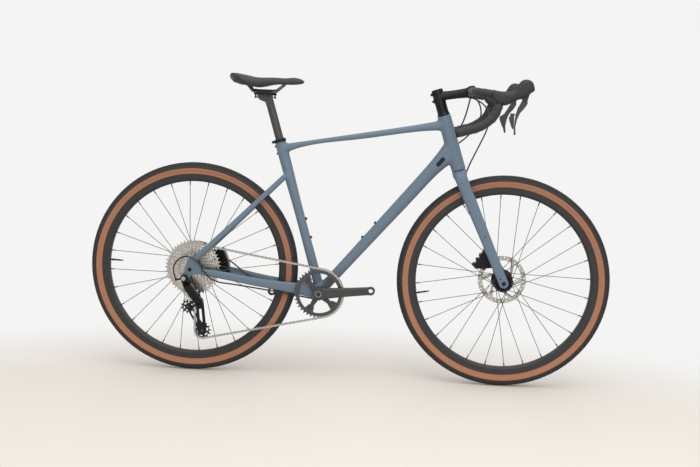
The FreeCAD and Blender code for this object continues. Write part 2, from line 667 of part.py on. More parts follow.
# Wheels
def wheel_spokes(name, centre, right_y, left_y, flange_radius, valve_angle):
    """Spokes with elbow, head and nipple, laced from alternate sides of both flanges."""
    holes = int(value("spokes_per_side"))
    step = 360.0 / holes
    swing = step * value("crossings")
    thick = value("spoke_radius")
    half_flange = value("flange_thickness") / 2
    hub_radius = flange_radius - 3.2
    nipple_end = value("rim_inner_radius") - 0.85
    pieces = []
    for side, flange_y, start in ((-1, -right_y, 0.0), (1, left_y, step / 2)):
        for way in (-1, 1):
            lay = side * way * (half_flange + thick + 0.7)
            elbow = Vector(hub_radius, flange_y + lay, 0)
            aim = math.radians(way * swing)
            rim_spot = Vector(nipple_end * math.cos(aim), side * 2.0, nipple_end * math.sin(aim))
            line = rim_spot - elbow
            along = Vector(line).normalize()
            through = -1 if lay > 0 else 1
            parts = [Part.makeCylinder(thick, line.Length - 11, elbow, along),
                     Part.makeSphere(thick, elbow),
                     Part.makeCylinder(thick, abs(lay) + half_flange + 0.4, elbow, Vector(0, through, 0)),
                     Part.makeCylinder(1.9, 0.9, Vector(hub_radius, flange_y + through * (half_flange + 0.1), 0),
                                       Vector(0, through, 0)),
                     Part.makeCylinder(thick + 0.9, 12, rim_spot - along * 12, along)]
            single = parts[0].multiFuse(parts[1:]).removeSplitter()
            first = 0 if way < 0 else 1
            for hole in range(first, holes, 2):
                copy = single.copy()
                copy.rotate(Vector(), SIDE, -(valve_angle + step / 4 + start + hole * step))
                copy.translate(centre)
                pieces.append(copy)
    return feature(name, Part.makeCompound(pieces))


def drilled_hub(name, blank, centre, right_y, left_y, flange_radius, valve_angle):
    """Hub shell with a hole for every spoke."""
    holes = int(value("spokes_per_side"))
    step = 360.0 / holes
    drills = []
    for flange_y, start in ((-right_y, 0.0), (left_y, step / 2)):
        for hole in range(holes):
            drill = Part.makeCylinder(value("spoke_radius") + 0.3, value("flange_thickness") + 2,
                                      Vector(flange_radius - 3.2, flange_y - value("flange_thickness") / 2 - 1, 0), SIDE)
            drill.rotate(Vector(), SIDE, -(valve_angle + step / 4 + start + hole * step))
            drill.translate(centre)
            drills.append(drill)
    return cut(name, blank, feature(name + "_drills", Part.makeCompound(drills)))


def tyre_and_rim(prefix, centre, valve_angle):
    outer, half, wall = size("wheel_radius"), size("tyre_half_width"), size("tyre_wall")
    flange, rim_half = size("rim_flange_radius"), size("rim_half_width")
    seat_y = rim_half - 2.7
    shoulder = flange + 1.0
    node(prefix + "_tyre", revolve(prefix + "_tyre_casing", [
        (shoulder, -(half * 0.744), (outer, 0)), (shoulder, half * 0.744), (flange + 0.6, seat_y - 0.3),
        (flange - 4.4, seat_y - 0.3), (flange - 4.4, seat_y - 3), (shoulder + 0.6, half * 0.744 - wall - 1.6, (outer - wall - 1, 0)),
        (shoulder + 0.6, -(half * 0.744 - wall - 1.6)), (flange - 4.4, -(seat_y - 3)), (flange - 4.4, -(seat_y - 0.3)),
        (flange + 0.6, -(seat_y - 0.3))], centre))
    inner, nose = size("rim_inner_radius"), size("rim_nose_half")
    rim = revolve(prefix + "_rim_hoop", [
        (inner, -nose, (inner - 0.6, 0)), (inner, nose), (inner + 7, rim_half - 1.8), (flange - 6, rim_half), (flange, rim_half),
        (flange, seat_y), (flange - 5, seat_y), (flange - 5, seat_y - 4), (flange - 9, seat_y - 4.5), (inner + 5, nose - 3),
        (inner + 5, -(nose - 3)), (flange - 9, -(seat_y - 4.5)), (flange - 5, -(seat_y - 4)), (flange - 5, -seat_y),
        (flange, -seat_y), (flange, -rim_half), (flange - 6, -rim_half), (inner + 7, -(rim_half - 1.8))], centre)
    turn_to = math.radians(valve_angle)
    inward = Vector(-math.cos(turn_to), 0, -math.sin(turn_to))
    start = centre - inward * (value("rim_inner_radius") + 3)
    stem = revolve(prefix + "_valve", [(0, 0), (2.9, 0), (2.9, 10), (4, 10), (4, 13), (2.9, 13), (2.9, 36), (2.1, 38), (2.1, 46),
                                       (0, 46)], start, inward)
    hole = rod(prefix + "_valve_hole", start - inward * 4, start + inward * 8, 2.9)
    node(prefix + "_rim", cut(prefix + "_rim_drilled", rim, hole), stem)


def rotor(name, centre, y):
    """Brake rotor: drilled track, slanted arms and a centre that seats on the hub."""
    radius = value("rotor_radius")
    loops = [ring(radius), ring(17.4)]
    arms = 6
    for i in range(arms):
        lead = i * 360.0 / arms
        corner = [(radius - 15, lead + 5), (radius - 15, lead + 53), (36, lead + 25), (36, lead - 17)]
        spots = [(r * math.cos(math.radians(a)), r * math.sin(math.radians(a))) for r, a in corner]
        outer_mid = Vector((radius - 15) * math.cos(math.radians(lead + 29)), (radius - 15) * math.sin(math.radians(lead + 29)), 0)
        inner_mid = Vector(36 * math.cos(math.radians(lead + 4)), 36 * math.sin(math.radians(lead + 4)), 0)
        flat = [Vector(x, z, 0) for x, z in spots]
        loops.append([Part.Arc(flat[0], outer_mid, flat[1]), Part.LineSegment(flat[1], flat[2]),
                      Part.Arc(flat[2], inner_mid, flat[3]), Part.LineSegment(flat[3], flat[0])])
        for shift, where in ((6, radius - 4), (16, radius - 10), (26, radius - 5), (36, radius - 9.5), (46, radius - 4.5),
                             (56, radius - 10)):
            angle = math.radians(lead + shift)
            loops.append(ring(2.3, where * math.cos(angle), where * math.sin(angle)))
    disc = plate(name + "_disc", loops, size("rotor_thickness"), centre + SIDE * (y + value("rotor_thickness") / 2))
    carrier = revolve(name + "_carrier", [(17.4, -0.9), (17.4, -4), (31, -4), (33, -0.9)], centre + SIDE * y)
    lock = revolve(name + "_lockring", [(12.5, 0.9), (22, 0.9), (22, 3), (19, 4.5), (12.5, 4.5)], centre + SIDE * y)
    node(name, disc, carrier, lock)


def build_front_wheel():
    end, flange_y = size("front_spacing") / 2, size("front_flange_y")
    half, rim = size("flange_thickness") / 2, size("front_flange_radius")
    bore = size("axle_radius") + size("running_gap")
    seat_y = size("front_rotor_y")
    blank = revolve("front_hub_blank", [
        (bore, -end + 0.3), (10, -end + 0.3), (10, -(flange_y + 13)), (16, -(flange_y + 12)), (24, -(flange_y + half + 1)),
        (25, -(flange_y + half)), (rim, -(flange_y + half)), (rim, -(flange_y - half)), (rim - 7, -(flange_y - half)),
        (rim - 8, -(flange_y - half - 2)), (rim - 8, flange_y - half - 2), (rim - 7, flange_y - half), (rim, flange_y - half), (rim, flange_y + half), (23, flange_y + half),
        (23, flange_y + half + 3), (17.2, flange_y + half + 3), (17.2, seat_y + 0.9), (12.3, seat_y + 0.9),
        (12.3, seat_y + 6), (10, seat_y + 6), (10, end - 0.3), (bore, end - 0.3)], FRONT_AXLE)
    node("front_hub", drilled_hub("front_hub_drilled", blank, FRONT_AXLE, value("front_flange_y"), value("front_flange_y"),
                                  value("front_flange_radius"), value("front_valve_angle")))
    node("front_spokes", wheel_spokes("front_spoke_set", FRONT_AXLE, value("front_flange_y"), value("front_flange_y"),
                                      value("front_flange_radius"), value("front_valve_angle")))
    tyre_and_rim("front", FRONT_AXLE, value("front_valve_angle"))
    rotor("front_rotor", FRONT_AXLE, value("front_rotor_y"))


def build_rear_wheel():
    end, right_y, left_y = size("rear_spacing") / 2, size("rear_flange_y"), size("rear_disc_flange_y")
    half, rim = size("flange_thickness") / 2, size("rear_flange_radius")
    bore = size("axle_radius") + size("running_gap")
    seat_y = size("rear_rotor_y")
    blank = revolve("rear_hub_blank", [
        (bore, -end + 0.3), (9.6, -end + 0.3), (9.6, -(right_y + 3.5)), (16, -(right_y + 3.5)), (20, -(right_y + half)),
        (rim, -(right_y + half)), (rim, -(right_y - half)), (rim - 7, -(right_y - half)), (17, -(right_y - half - 4)), (15, 0),
        (17, left_y - half - 4), (rim - 7, left_y - half), (rim, left_y - half), (rim, left_y + half), (20, left_y + half), (17.2, left_y + half + 6), (17.2, seat_y + 0.9),
        (12.3, seat_y + 0.9), (12.3, seat_y + 6), (10, seat_y + 6), (10, end - 0.3), (bore, end - 0.3)], REAR_AXLE)
    node("rear_hub", drilled_hub("rear_hub_drilled", blank, REAR_AXLE, value("rear_flange_y"), value("rear_disc_flange_y"),
                                 value("rear_flange_radius"), value("rear_valve_angle")))
    node("rear_spokes", wheel_spokes("rear_spoke_set", REAR_AXLE, value("rear_flange_y"), value("rear_disc_flange_y"),
                                     value("rear_flange_radius"), value("rear_valve_angle")))
    tyre_and_rim("rear", REAR_AXLE, value("rear_valve_angle"))
    rotor("rear_rotor", REAR_AXLE, value("rear_rotor_y"))


build_front_wheel()
build_rear_wheel()


# Steering
def build_fork():
    crown_top = value("fork_length")
    crown_low = crown_top - value("crown_height")
    foot = size("head_foot_radius") * 2
    deep = size("leg_top_depth")
    crown = tube("fork_crown", STEER_UP, [
        (steer(crown_low), size("crown_width"), deep), (steer(crown_low + 9), size("crown_width") - 3, deep + 1.5),
        (steer(crown_top - 6), size("crown_width") * 0.72, foot), (steer(crown_top), foot + 2, foot)])
    leg_top = steer(crown_low + 2)
    down = (FRONT_AXLE - leg_top).normalize()
    top_y, low_y = value("leg_top_y"), value("front_spacing") / 2 + value("leg_low_width") / 2
    wide, narrow = size("leg_top_width"), size("leg_low_width")
    thin = size("leg_low_depth")

    def leg(part, out):
        spot = leg_top + (FRONT_AXLE - leg_top) * part
        return Vector(spot.x, -(top_y + (low_y - top_y) * out), spot.z)

    blade = tube("fork_leg_right", down, [
        (leg(0, 0), wide, deep, -STEER_UP), (leg(0.3, 0.3), wide * 0.87, deep * 0.88), (leg(0.6, 0.66), wide * 0.76, deep * 0.78),
        (leg(0.85, 0.93), narrow, thin + 1), (leg(0.985, 1), narrow, thin)])
    inner, outer = value("front_spacing") / 2, value("front_spacing") / 2 + value("leg_low_width")
    end = rod("fork_end_right", FRONT_AXLE - SIDE * inner, FRONT_AXLE - SIDE * outer, size("leg_low_depth") / 2)
    steerer = rod("fork_steerer", steer(crown_top - 4), steer(value("stem_up_steerer") + value("stem_clamp_height") / 2 - 1),
                  size("steerer_radius"))
    right = fuse("fork_blade_right", blade, end)
    left = mirror("fork_blade_left", right)
    holes = [rod("fork_axle_bore", FRONT_AXLE - SIDE * 80, FRONT_AXLE + SIDE * 80, size("axle_radius") + size("seat_gap"))]
    for name, x, z, depth in (("high", -68, 150.8, 47), ("low", -12, 15, 55)):
        for side in (-1, 1):
            holes.append(rod("eyelet_%s_%d" % (name, side + 1), FRONT_AXLE + Vector(x, side * depth, z),
                             FRONT_AXLE + Vector(x, side * 80, z), size("eyelet_radius")))
    body = cut("fork_drilled", fuse("fork_fused", crown, right, left, steerer), *holes)
    face = value("leg_top_depth") / 2 + 0.5
    bolts = [revolve("crown_bolt_" + name, [(1.5, 1), (1.5, 0), (4.6, 0), (4.6, 2.4), (3.6, 3.4), (1.5, 3.4)],
                     steer(crown_low + 9, way * face), STEER_AHEAD * way) for name, way in (("front", 1), ("back", -1))]
    node("fork", body, *bolts)
    reach = size("front_spacing") / 2 + size("leg_low_width")
    node("front_axle", revolve("front_axle_rod", [
        (0, -reach), (size("axle_radius"), -reach), (size("axle_radius"), reach + 0.1), (9.5, reach + 0.1), (9.5, reach + 4),
        (3.1, reach + 4), (3.1, reach - 3), (0, reach - 3)], FRONT_AXLE))
    return left


STEM_UP = Vector(-math.sin(math.radians(value("stem_rise"))), 0, math.cos(math.radians(value("stem_rise"))))
STEM_AHEAD = Vector(math.cos(math.radians(value("stem_rise"))), 0, math.sin(math.radians(value("stem_rise"))))
STEM_CENTRE = steer(value("stem_up_steerer"))
BAR_CENTRE = STEM_CENTRE + STEM_AHEAD * value("stem_length")


def build_stem():
    half = value("stem_clamp_height") / 2
    low, high = value("stem_up_steerer") - half, value("stem_up_steerer") + half
    bore = size("steerer_radius") + size("seat_gap")
    clamp = size("stem_clamp_radius")
    rings = [revolve("headset_cover", [(bore, 0.4), (size("head_top_radius") - 0.5, 0.4), (size("head_top_radius") - 1.2, 4),
                                       (clamp - 0.5, 10), (bore, 10)], steer(HEAD_TOP), STEER_UP)]
    gap = (low - HEAD_TOP - 10) / 3
    for i in range(3):
        rings.append(revolve("spacer_%d" % i, [(bore, 0.05), (clamp - 1.2, 0.05), (clamp - 0.6, 0.6), (clamp - 0.6, gap - 0.6),
                                               (clamp - 1.2, gap - 0.05), (bore, gap - 0.05)],
                             steer(HEAD_TOP + 10 + i * gap), STEER_UP))
    bar_r, width = size("bar_clamp_radius"), size("bar_clamp_width")
    side_half = value("bar_clamp_width") / 2
    outer = bar_r + 5
    column = rod("stem_column", steer(low), steer(high), clamp)
    ears = [rod("stem_ear_%d" % i, steer(value("stem_up_steerer") + up, -clamp.value - 1, 11),
                steer(value("stem_up_steerer") + up, -clamp.value - 1, -11), 5) for i, up in enumerate((-12, 11))]
    arm = tube("stem_arm", STEM_AHEAD, [
        (STEM_CENTRE + STEM_AHEAD * 6, clamp * 1.9, size("stem_arm_height") + 3),
        (STEM_CENTRE + STEM_AHEAD * (value("stem_length") * 0.5), clamp * 1.7, size("stem_arm_height")),
        (BAR_CENTRE - STEM_AHEAD * 14, width - 4, size("stem_arm_height") + 4)])
    barrel = rod("stem_barrel", BAR_CENTRE - SIDE * side_half, BAR_CENTRE + SIDE * side_half, outer)
    bar_bore = rod("stem_bar_bore", BAR_CENTRE - SIDE * 60, BAR_CENTRE + SIDE * 60, bar_r + size("seat_gap"))
    tilt = Rotation(SIDE, -value("stem_rise"))
    front = box("stem_front_half", 80, 80, 60, BAR_CENTRE + STEM_AHEAD * 1, tilt)
    back = box("stem_back_half", 80, 80, 60, BAR_CENTRE - STEM_AHEAD * 58.5, tilt)
    post = rod("stem_steerer_bore", steer(low - 5), steer(high + 5), bore)
    pockets, bolts = [], []
    for i, (y, up) in enumerate(((-14, -1), (14, -1), (-14, 1), (14, 1))):
        spot = BAR_CENTRE + SIDE * y + STEM_UP * up * (bar_r.value + 1.9)
        pockets.append(rod("face_pocket_%d" % i, spot + STEM_AHEAD * 7, spot + STEM_AHEAD * 30, 3))
        bolts.append(revolve("face_bolt_%d" % i, [(0, 0), (2.8, 0), (2.8, 5), (1.4, 5), (1.4, 2.5), (0, 2.5)],
                             spot + STEM_AHEAD * 7.05, STEM_AHEAD))
    node("stem", cut("stem_bored", fuse("stem_fused", column, arm, barrel, *ears), bar_bore, front, post))
    node("stem_faceplate", cut("faceplate_bored", rod("faceplate_barrel", BAR_CENTRE - SIDE * side_half,
                                                      BAR_CENTRE + SIDE * side_half, outer), bar_bore, back, *pockets))
    for i, up in enumerate((-12, 11)):
        bolts.append(revolve("clamp_bolt_%d" % i, [(0, 0.05), (4, 0.05), (4, 3), (1.7, 3), (1.7, 1.5), (0, 1.5)],
                             steer(value("stem_up_steerer") + up, -clamp.value - 1, -11), -SIDE))
    cap = revolve("top_cap", [(0, 0.05), (clamp - 1, 0.05), (clamp - 1, 2), (clamp - 3, 3.6), (5, 3.6), (5, 2.4), (0, 2.4)],
                  steer(high), STEER_UP)
    node("stem_hardware", cap, *rings, *bolts)


HALF_BAR = value("bar_half_width")
BAR_CORNER = BAR_CENTRE + Vector(4, -(HALF_BAR - 3), -2)
BAR_HOOK = BAR_CENTRE + Vector(value("bar_reach"), -HALF_BAR, -11)
BAR_TURN = BAR_CENTRE + Vector(value("bar_reach") - 24, -(HALF_BAR + value("bar_flare") * 0.42), 52.5 - value("bar_drop"))
BAR_FLAT = BAR_CENTRE + Vector(value("bar_reach") - 67, -(HALF_BAR + value("bar_flare") * 0.7), 20 - value("bar_drop"))
BAR_END = BAR_CENTRE + Vector(value("bar_reach") - 137, -(HALF_BAR + value("bar_flare")), -value("bar_drop"))


def build_bar():
    """Bar with its plugs, and the tape wound on it from the stem and from the lever bodies."""
    path = [BAR_CENTRE - SIDE * 0.01, BAR_CORNER, BAR_HOOK, BAR_TURN, BAR_FLAT, BAR_END]
    bends = [38, 28, 62, 100]
    thick = size("bar_radius")
    half = cord("bar_half", path, bends, thick)
    swell = revolve("bar_swell", [(0, -45), (thick, -45), (size("bar_clamp_radius"), -30), (size("bar_clamp_radius"), 30),
                                  (thick, 45), (0, 45)], BAR_CENTRE)
    bar = fuse("bar_fused", half, mirror("bar_other_half", half), swell)
    tip = (BAR_END - BAR_FLAT).normalize()
    plug = revolve("bar_plug_right", [(0, 0.05), (size("tape_radius") - 0.6, 0.05), (size("tape_radius") - 0.6, 2.5),
                                      (size("tape_radius") - 4, 5), (0, 5.5)], BAR_END, tip)
    node("handlebar", bar, plug, mirror("bar_plug_left", plug))
    wrap = size("tape_radius")
    upper = cord("tape_upper", [BAR_CENTRE - SIDE * 46, BAR_CORNER, BAR_CORNER + (BAR_HOOK - BAR_CORNER) * 0.6], [38], wrap)
    lower = cord("tape_lower", [BAR_HOOK + (BAR_TURN - BAR_HOOK) * 0.42, BAR_TURN, BAR_FLAT, BAR_END], [62, 100], wrap)
    core = cord("tape_core", path, bends, thick + size("seat_gap"))
    top_wrap, low_wrap = cut("tape_upper_right", upper, core), cut("tape_lower_right", lower, core)
    node("bar_tape", top_wrap, low_wrap, mirror("tape_upper_left", top_wrap), mirror("tape_lower_left", low_wrap))
    return core, upper, lower


LEVER_PIVOT = BAR_CENTRE + Vector(155, -HALF_BAR, -21.5)


def build_controls(core, upper, lower):
    wide = size("hood_width")
    start = BAR_CENTRE - SIDE * HALF_BAR

    def hood(x, z, width, height, tilt):
        angle = math.radians(tilt)
        return start + Vector(x, 0, z), wide * width, height, Vector(math.cos(angle), 0, math.sin(angle))

    shell = tube("hood_shell", FORWARD, [
        hood(57, -8.5, 0.86, 31, -5), hood(90, -19.5, 0.97, 43, -2), hood(113, -14.5, 1.0, 36, 7), hood(132, -4, 1.0, 36, 20),
        hood(148, 8, 0.98, 51, 24), hood(160, 18, 0.94, 48, 24), hood(172.5, 22, 0.86, 38, 22), hood(180, 23, 0.55, 20, 20)])
    thick = value("lever_thickness")
    lugs = []
    for i, y in enumerate((thick / 2 + 3.5, -thick / 2 - 0.5)):
        lugs.append(plate("lever_lug_%d" % i, [rounded([(-13, 16, 2), (13, 16, 2), (6, -6, 5.5), (-6, -6, 5.5)])], 3,
                          LEVER_PIVOT + SIDE * y))
    pin = rod("lever_pin", LEVER_PIVOT + SIDE * (thick / 2 + 3.6), LEVER_PIVOT - SIDE * (thick / 2 + 3.6), 2)
    room = plate("lever_room", [rounded([(-12, 14, 3), (12, 14, 3), (12, -12, 3), (-12, -12, 3)])], thick + 1,
                 LEVER_PIVOT + SIDE * (thick / 2 + 0.5))
    body = fuse("lever_body_right", cut("hood_cleared", fuse("hood_lugs", shell, *lugs), room, core, upper, lower), pin)
    node("lever_bodies", body, mirror("lever_body_left", body))

    def blade(name, tail, side):
        outline = rounded([(7, 5, 3), (9, -11, 8), (-1, -27, 12), (-13, -41, 14), (-20.5, -59, 20), (-25, -84, 20),
                           (-22.5, -108, 2), (-28, -108, 2)] + tail + [(-20, -25, 8), (-9, -5, 5), (-6, 5, 4)])
        base = Vector(LEVER_PIVOT.x, side * HALF_BAR + thick / 2, LEVER_PIVOT.z)
        bore = rod(name + "_bore", base - SIDE * 40, base + SIDE * 40, 2 + value("running_gap"))
        return plate(name + "_blank", [outline], size("lever_thickness"), base), bore

    hinge = LEVER_PIVOT + Vector(-34, 0, -46)
    finger, bore = blade("brake_right", [(-29, -90, 14), (-27, -62, 12), (-24.5, -42, 8)], -1)
    stub = rod("paddle_pin", hinge + FORWARD * 12, hinge - FORWARD * 6, 1.4)
    node("brake_lever_right", fuse("brake_right_fused", cut("brake_right_bored", finger, bore), stub))
    finger, bore = blade("brake_left", [(-32, -93, 8), (-38, -82, 8), (-45.5, -63, 6), (-46, -54, 4), (-30, -42, 6)], 1)
    node("brake_lever_left", cut("brake_left_bored", finger, bore))
    leaf = plate("paddle_leaf", [rounded([(4, 4, 2), (-12, -8, 4), (-10.5, -17, 6), (-3, -37, 6), (2.5, -47, 1.5), (4.5, -40, 4), (5, -18, 8)])], 5,
                 hinge + SIDE * 2.5)
    boss = rod("paddle_boss", hinge - FORWARD * 8, hinge + FORWARD * 4.5, 3.8)
    node("shift_lever", cut("paddle_bored", fuse("paddle_fused", leaf, boss),
                            rod("paddle_bore", hinge - FORWARD * 7, hinge + FORWARD * 10, 1.4 + value("running_gap"))))


fork_left = build_fork()
build_stem()
bar_core, tape_upper, tape_lower = build_bar()
build_controls(bar_core, tape_upper, tape_lower)


# Brakes
def caliper(name, outline, axle, rotor_y, inner_y, outer_y, neighbour, pad_angle):
    """Caliper straddling the rotor, with a pad on each side of it."""
    blank = plate(name + "_blank", [rounded(outline)], outer_y - inner_y, axle + SIDE * outer_y)
    slot = rod(name + "_slot", axle + SIDE * (rotor_y - 4), axle + SIDE * (rotor_y + 4), size("rotor_radius") + 4)
    prefix = name.split("_")[0]
    turn_to = math.radians(pad_angle)
    mid = value("rotor_radius") - 8
    spot = axle + Vector(mid * math.cos(turn_to), 0, mid * math.sin(turn_to))
    boss = revolve(name + "_boss", [(0, 0), (12.5, 0), (12.5, 1.5), (10.5, 3.5), (4, 3.5), (4, 2), (0, 2)], spot + SIDE * outer_y)
    node(name, cut(name + "_body", fuse(name + "_fused", blank, boss), slot, neighbour))
    for pad, y in (("outer", rotor_y + 3.9), ("inner", rotor_y - 1.4)):
        node("%s_%s_pad" % (prefix, pad), plate("%s_%s_pad_block" % (prefix, pad), [rounded([
            (-8, -13, 2), (8, -13, 2), (8, 13, 2), (-8, 13, 2)])], 2.5, spot + SIDE * y, Rotation(SIDE, -pad_angle)))


caliper("front_caliper", [(-57, 93, 5), (-68, 92, 5), (-83, 62, 6), (-98, 45, 6), (-92, 33, 6), (-32, 38, 4), (-41, 68, 4)], FRONT_AXLE,
        value("front_rotor_y"), 28.5, 60, fork_left, 145)
chainstay_left = doc.getObject("chainstay_left")
caliper("rear_caliper", [(40, -10, 4), (112, -24, 4), (107, 14, 7), (88, 60, 7), (70, 58, 7), (50, 22, 8)], REAR_AXLE,
        value("rear_rotor_y"), 42, 74, chainstay_left, 21)


# Seat
RAIL_Y = 22
SADDLE_STATIONS = (
    # Part of the length, part of the width, top and underside from the saddle height
    (0.0, 0.36, 0, -5), (0.05, 0.72, 8.3, -6), (0.11, 0.9, 8.6, -15.5), (0.18, 1.0, 6, -25.5), (0.27, 0.97, 2, -33.5),
    (0.38, 0.82, -2.8, -36), (0.5, 0.62, -4, -31), (0.64, 0.42, -3.8, -25), (0.82, 0.32, -1.6, -24.5),
    (0.94, 0.27, -2.5, -21.5), (0.985, 0.2, -7.5, -18), (1.0, 0.12, -10.5, -15))


def saddle_section(name, part, width, top, under, kind):
    """One section of the cover with a recess below, of the thin shell in it, or of both filled in above the shell's foot."""
    x = value("saddle_tail_x") + value("saddle_length") * part
    half = value("saddle_width") * width / 2
    low, high = value("saddle_top_z") + under, value("saddle_top_z") + top
    deep = min(4.5, (high - low) * 0.3)
    lip = half * 0.24
    foot = low + deep * 0.3
    if kind == "shell":
        half = half - lip - 0.8
        high = low + deep - 0.15
        spots = [(half - 1, foot, None), (half, high, None), (-half, high, None), (-half + 1, foot, None)]
    else:
        side_z, crown_z = low + (high - low) * 0.45, high - (high - low) * 0.1
        edge_z = low if kind == "cover" else foot
        spots = [(half - lip * 0.35, edge_z, (half, side_z)), (half * 0.74, crown_z, (0, high)),
                 (-half * 0.74, crown_z, (-half, side_z)), (-half + lip * 0.35, edge_z, None)]
        if kind == "cover":
            spots += [(-half + lip, low + deep, None), (half - lip, low + deep, None)]
    edges = []
    for i, (y, z, via) in enumerate(spots):
        following = spots[(i + 1) % len(spots)]
        start, end = Vector(x, y, z), Vector(x, following[0], following[1])
        curve = Part.Arc(start, Vector(x, *via), end) if via else Part.LineSegment(start, end)
        edges.append(curve.toShape())
    return feature(name, Part.Wire(edges))


def saddle_loft(name, kind):
    """One of the three saddle forms; only the cover reaches the nose and the tail."""
    stations = SADDLE_STATIONS if kind == "cover" else SADDLE_STATIONS[2:-1]
    loft = doc.addObject("Part::Loft", name)
    loft.Sections = [saddle_section("%s_%d" % (name, i), *station, kind) for i, station in enumerate(stations)]
    loft.Solid = True
    return loft


def build_seat():
    """Seatpost with its head, the clamp on the rails, and the saddle."""
    top = seat(value("post_top"))
    rail_z, radius = value("rail_z"), value("rail_radius")
    table = rail_z - 10 - top.z
    head = plate("post_head", [rounded([
        (-36, table, 2), (-36, table - 8, 4), (-26, -9, 8), (-9, -14, 6), (-3.5, -30, 4), (18, -30, 4), (13, -8, 8),
        (14, table, 3)])], 26, top + SIDE * 13)
    post = rod("post_tube", seat(value("seat_tube_length") - value("post_insert")), top, size("post_radius"))
    node("seatpost", fuse("post_fused", post, head))
    back, front = top.x - 43, top.x + 21
    blocks = []
    for name, z, high in (("lower", rail_z - radius - 3.1, 6), ("upper", rail_z + radius + 2.6, 5)):
        blocks.append(box("clamp_" + name, RAIL_Y * 2 + 14, high, 50, Vector(top.x - 38, 0, z), Rotation()))
        blocks.append(box("clamp_ears_" + name, 16, high, front - back + 10, Vector(back - 5, 0, z), Rotation()))
    bolts = []
    for name, x in (("back", back), ("front", front)):
        bolts.append(rod("clamp_bolt_" + name, Vector(x, 0, rail_z - 20), Vector(x, 0, rail_z + 9.5), 2.5))
        bolts.append(rod("clamp_nut_" + name, Vector(x, 0, rail_z - 20), Vector(x, 0, rail_z - 15), 4.2))
        bolts.append(rod("clamp_bolt_head_" + name, Vector(x, 0, rail_z + 6), Vector(x, 0, rail_z + 10), 4.2))
    node("seat_clamp", fuse("clamp_fused", *blocks, *bolts))
    cover, shell = saddle_loft("saddle_cover_loft", "cover"), saddle_loft("saddle_shell_loft", "shell")
    filled = saddle_loft("saddle_filled_loft", "filled")
    rail = cord("rail_right", [
        Vector(top.x - 68, -RAIL_Y - 6, rail_z + 23), Vector(top.x - 49, -RAIL_Y, rail_z), Vector(top.x + 20, -RAIL_Y, rail_z),
        Vector(top.x + 54, -RAIL_Y + 9, rail_z + 28)], 12, size("rail_radius"))
    trimmed = cut("rail_right_fitted", rail, filled, shell)
    node("saddle_rails", trimmed, mirror("rail_left", trimmed))
    node("saddle_shell", shell)
    node("saddle_cover", cover)


build_seat()


# Drivetrain
PITCH = value("chain_pitch")


def pitch_radius(teeth):
    return PITCH / (2 * math.sin(math.pi / teeth))


def tooth_loop(teeth, seat_angle):
    """Outline of a toothed wheel; one roller seat lies at the given angle from straight ahead, upwards."""
    radius, seat_r = pitch_radius(teeth), value("roller_radius") + 0.12
    tip, step = radius + 3.4, 2 * math.pi / teeth

    def polar(r, angle):
        return Vector(r * math.cos(angle), r * math.sin(angle), 0)

    edges = []
    for k in range(teeth):
        angle = seat_angle + k * step
        middle = polar(radius, angle)
        start, low, end = (middle + polar(seat_r, angle + math.radians(turned)) for turned in (250, 180, 110))
        half_tip = 0.8 / tip
        peak_a, peak_b = polar(tip, angle + step / 2 - half_tip), polar(tip, angle + step / 2 + half_tip)
        following = polar(radius, angle + step) + polar(seat_r, angle + step + math.radians(250))
        edges += [Part.Arc(start, low, end), Part.LineSegment(end, peak_a), Part.LineSegment(peak_a, peak_b),
                  Part.LineSegment(peak_b, following)]
    return edges


def window(inner, outer, start, end):
    """Opening between two radii and two angles in degrees."""
    def polar(r, angle):
        return Vector(r * math.cos(math.radians(angle)), r * math.sin(math.radians(angle)), 0)
    mid = (start + end) / 2
    return [Part.Arc(polar(outer, start), polar(outer, mid), polar(outer, end)),
            Part.LineSegment(polar(outer, end), polar(inner, end)),
            Part.Arc(polar(inner, end), polar(inner, mid), polar(inner, start)),
            Part.LineSegment(polar(inner, start), polar(outer, start))]


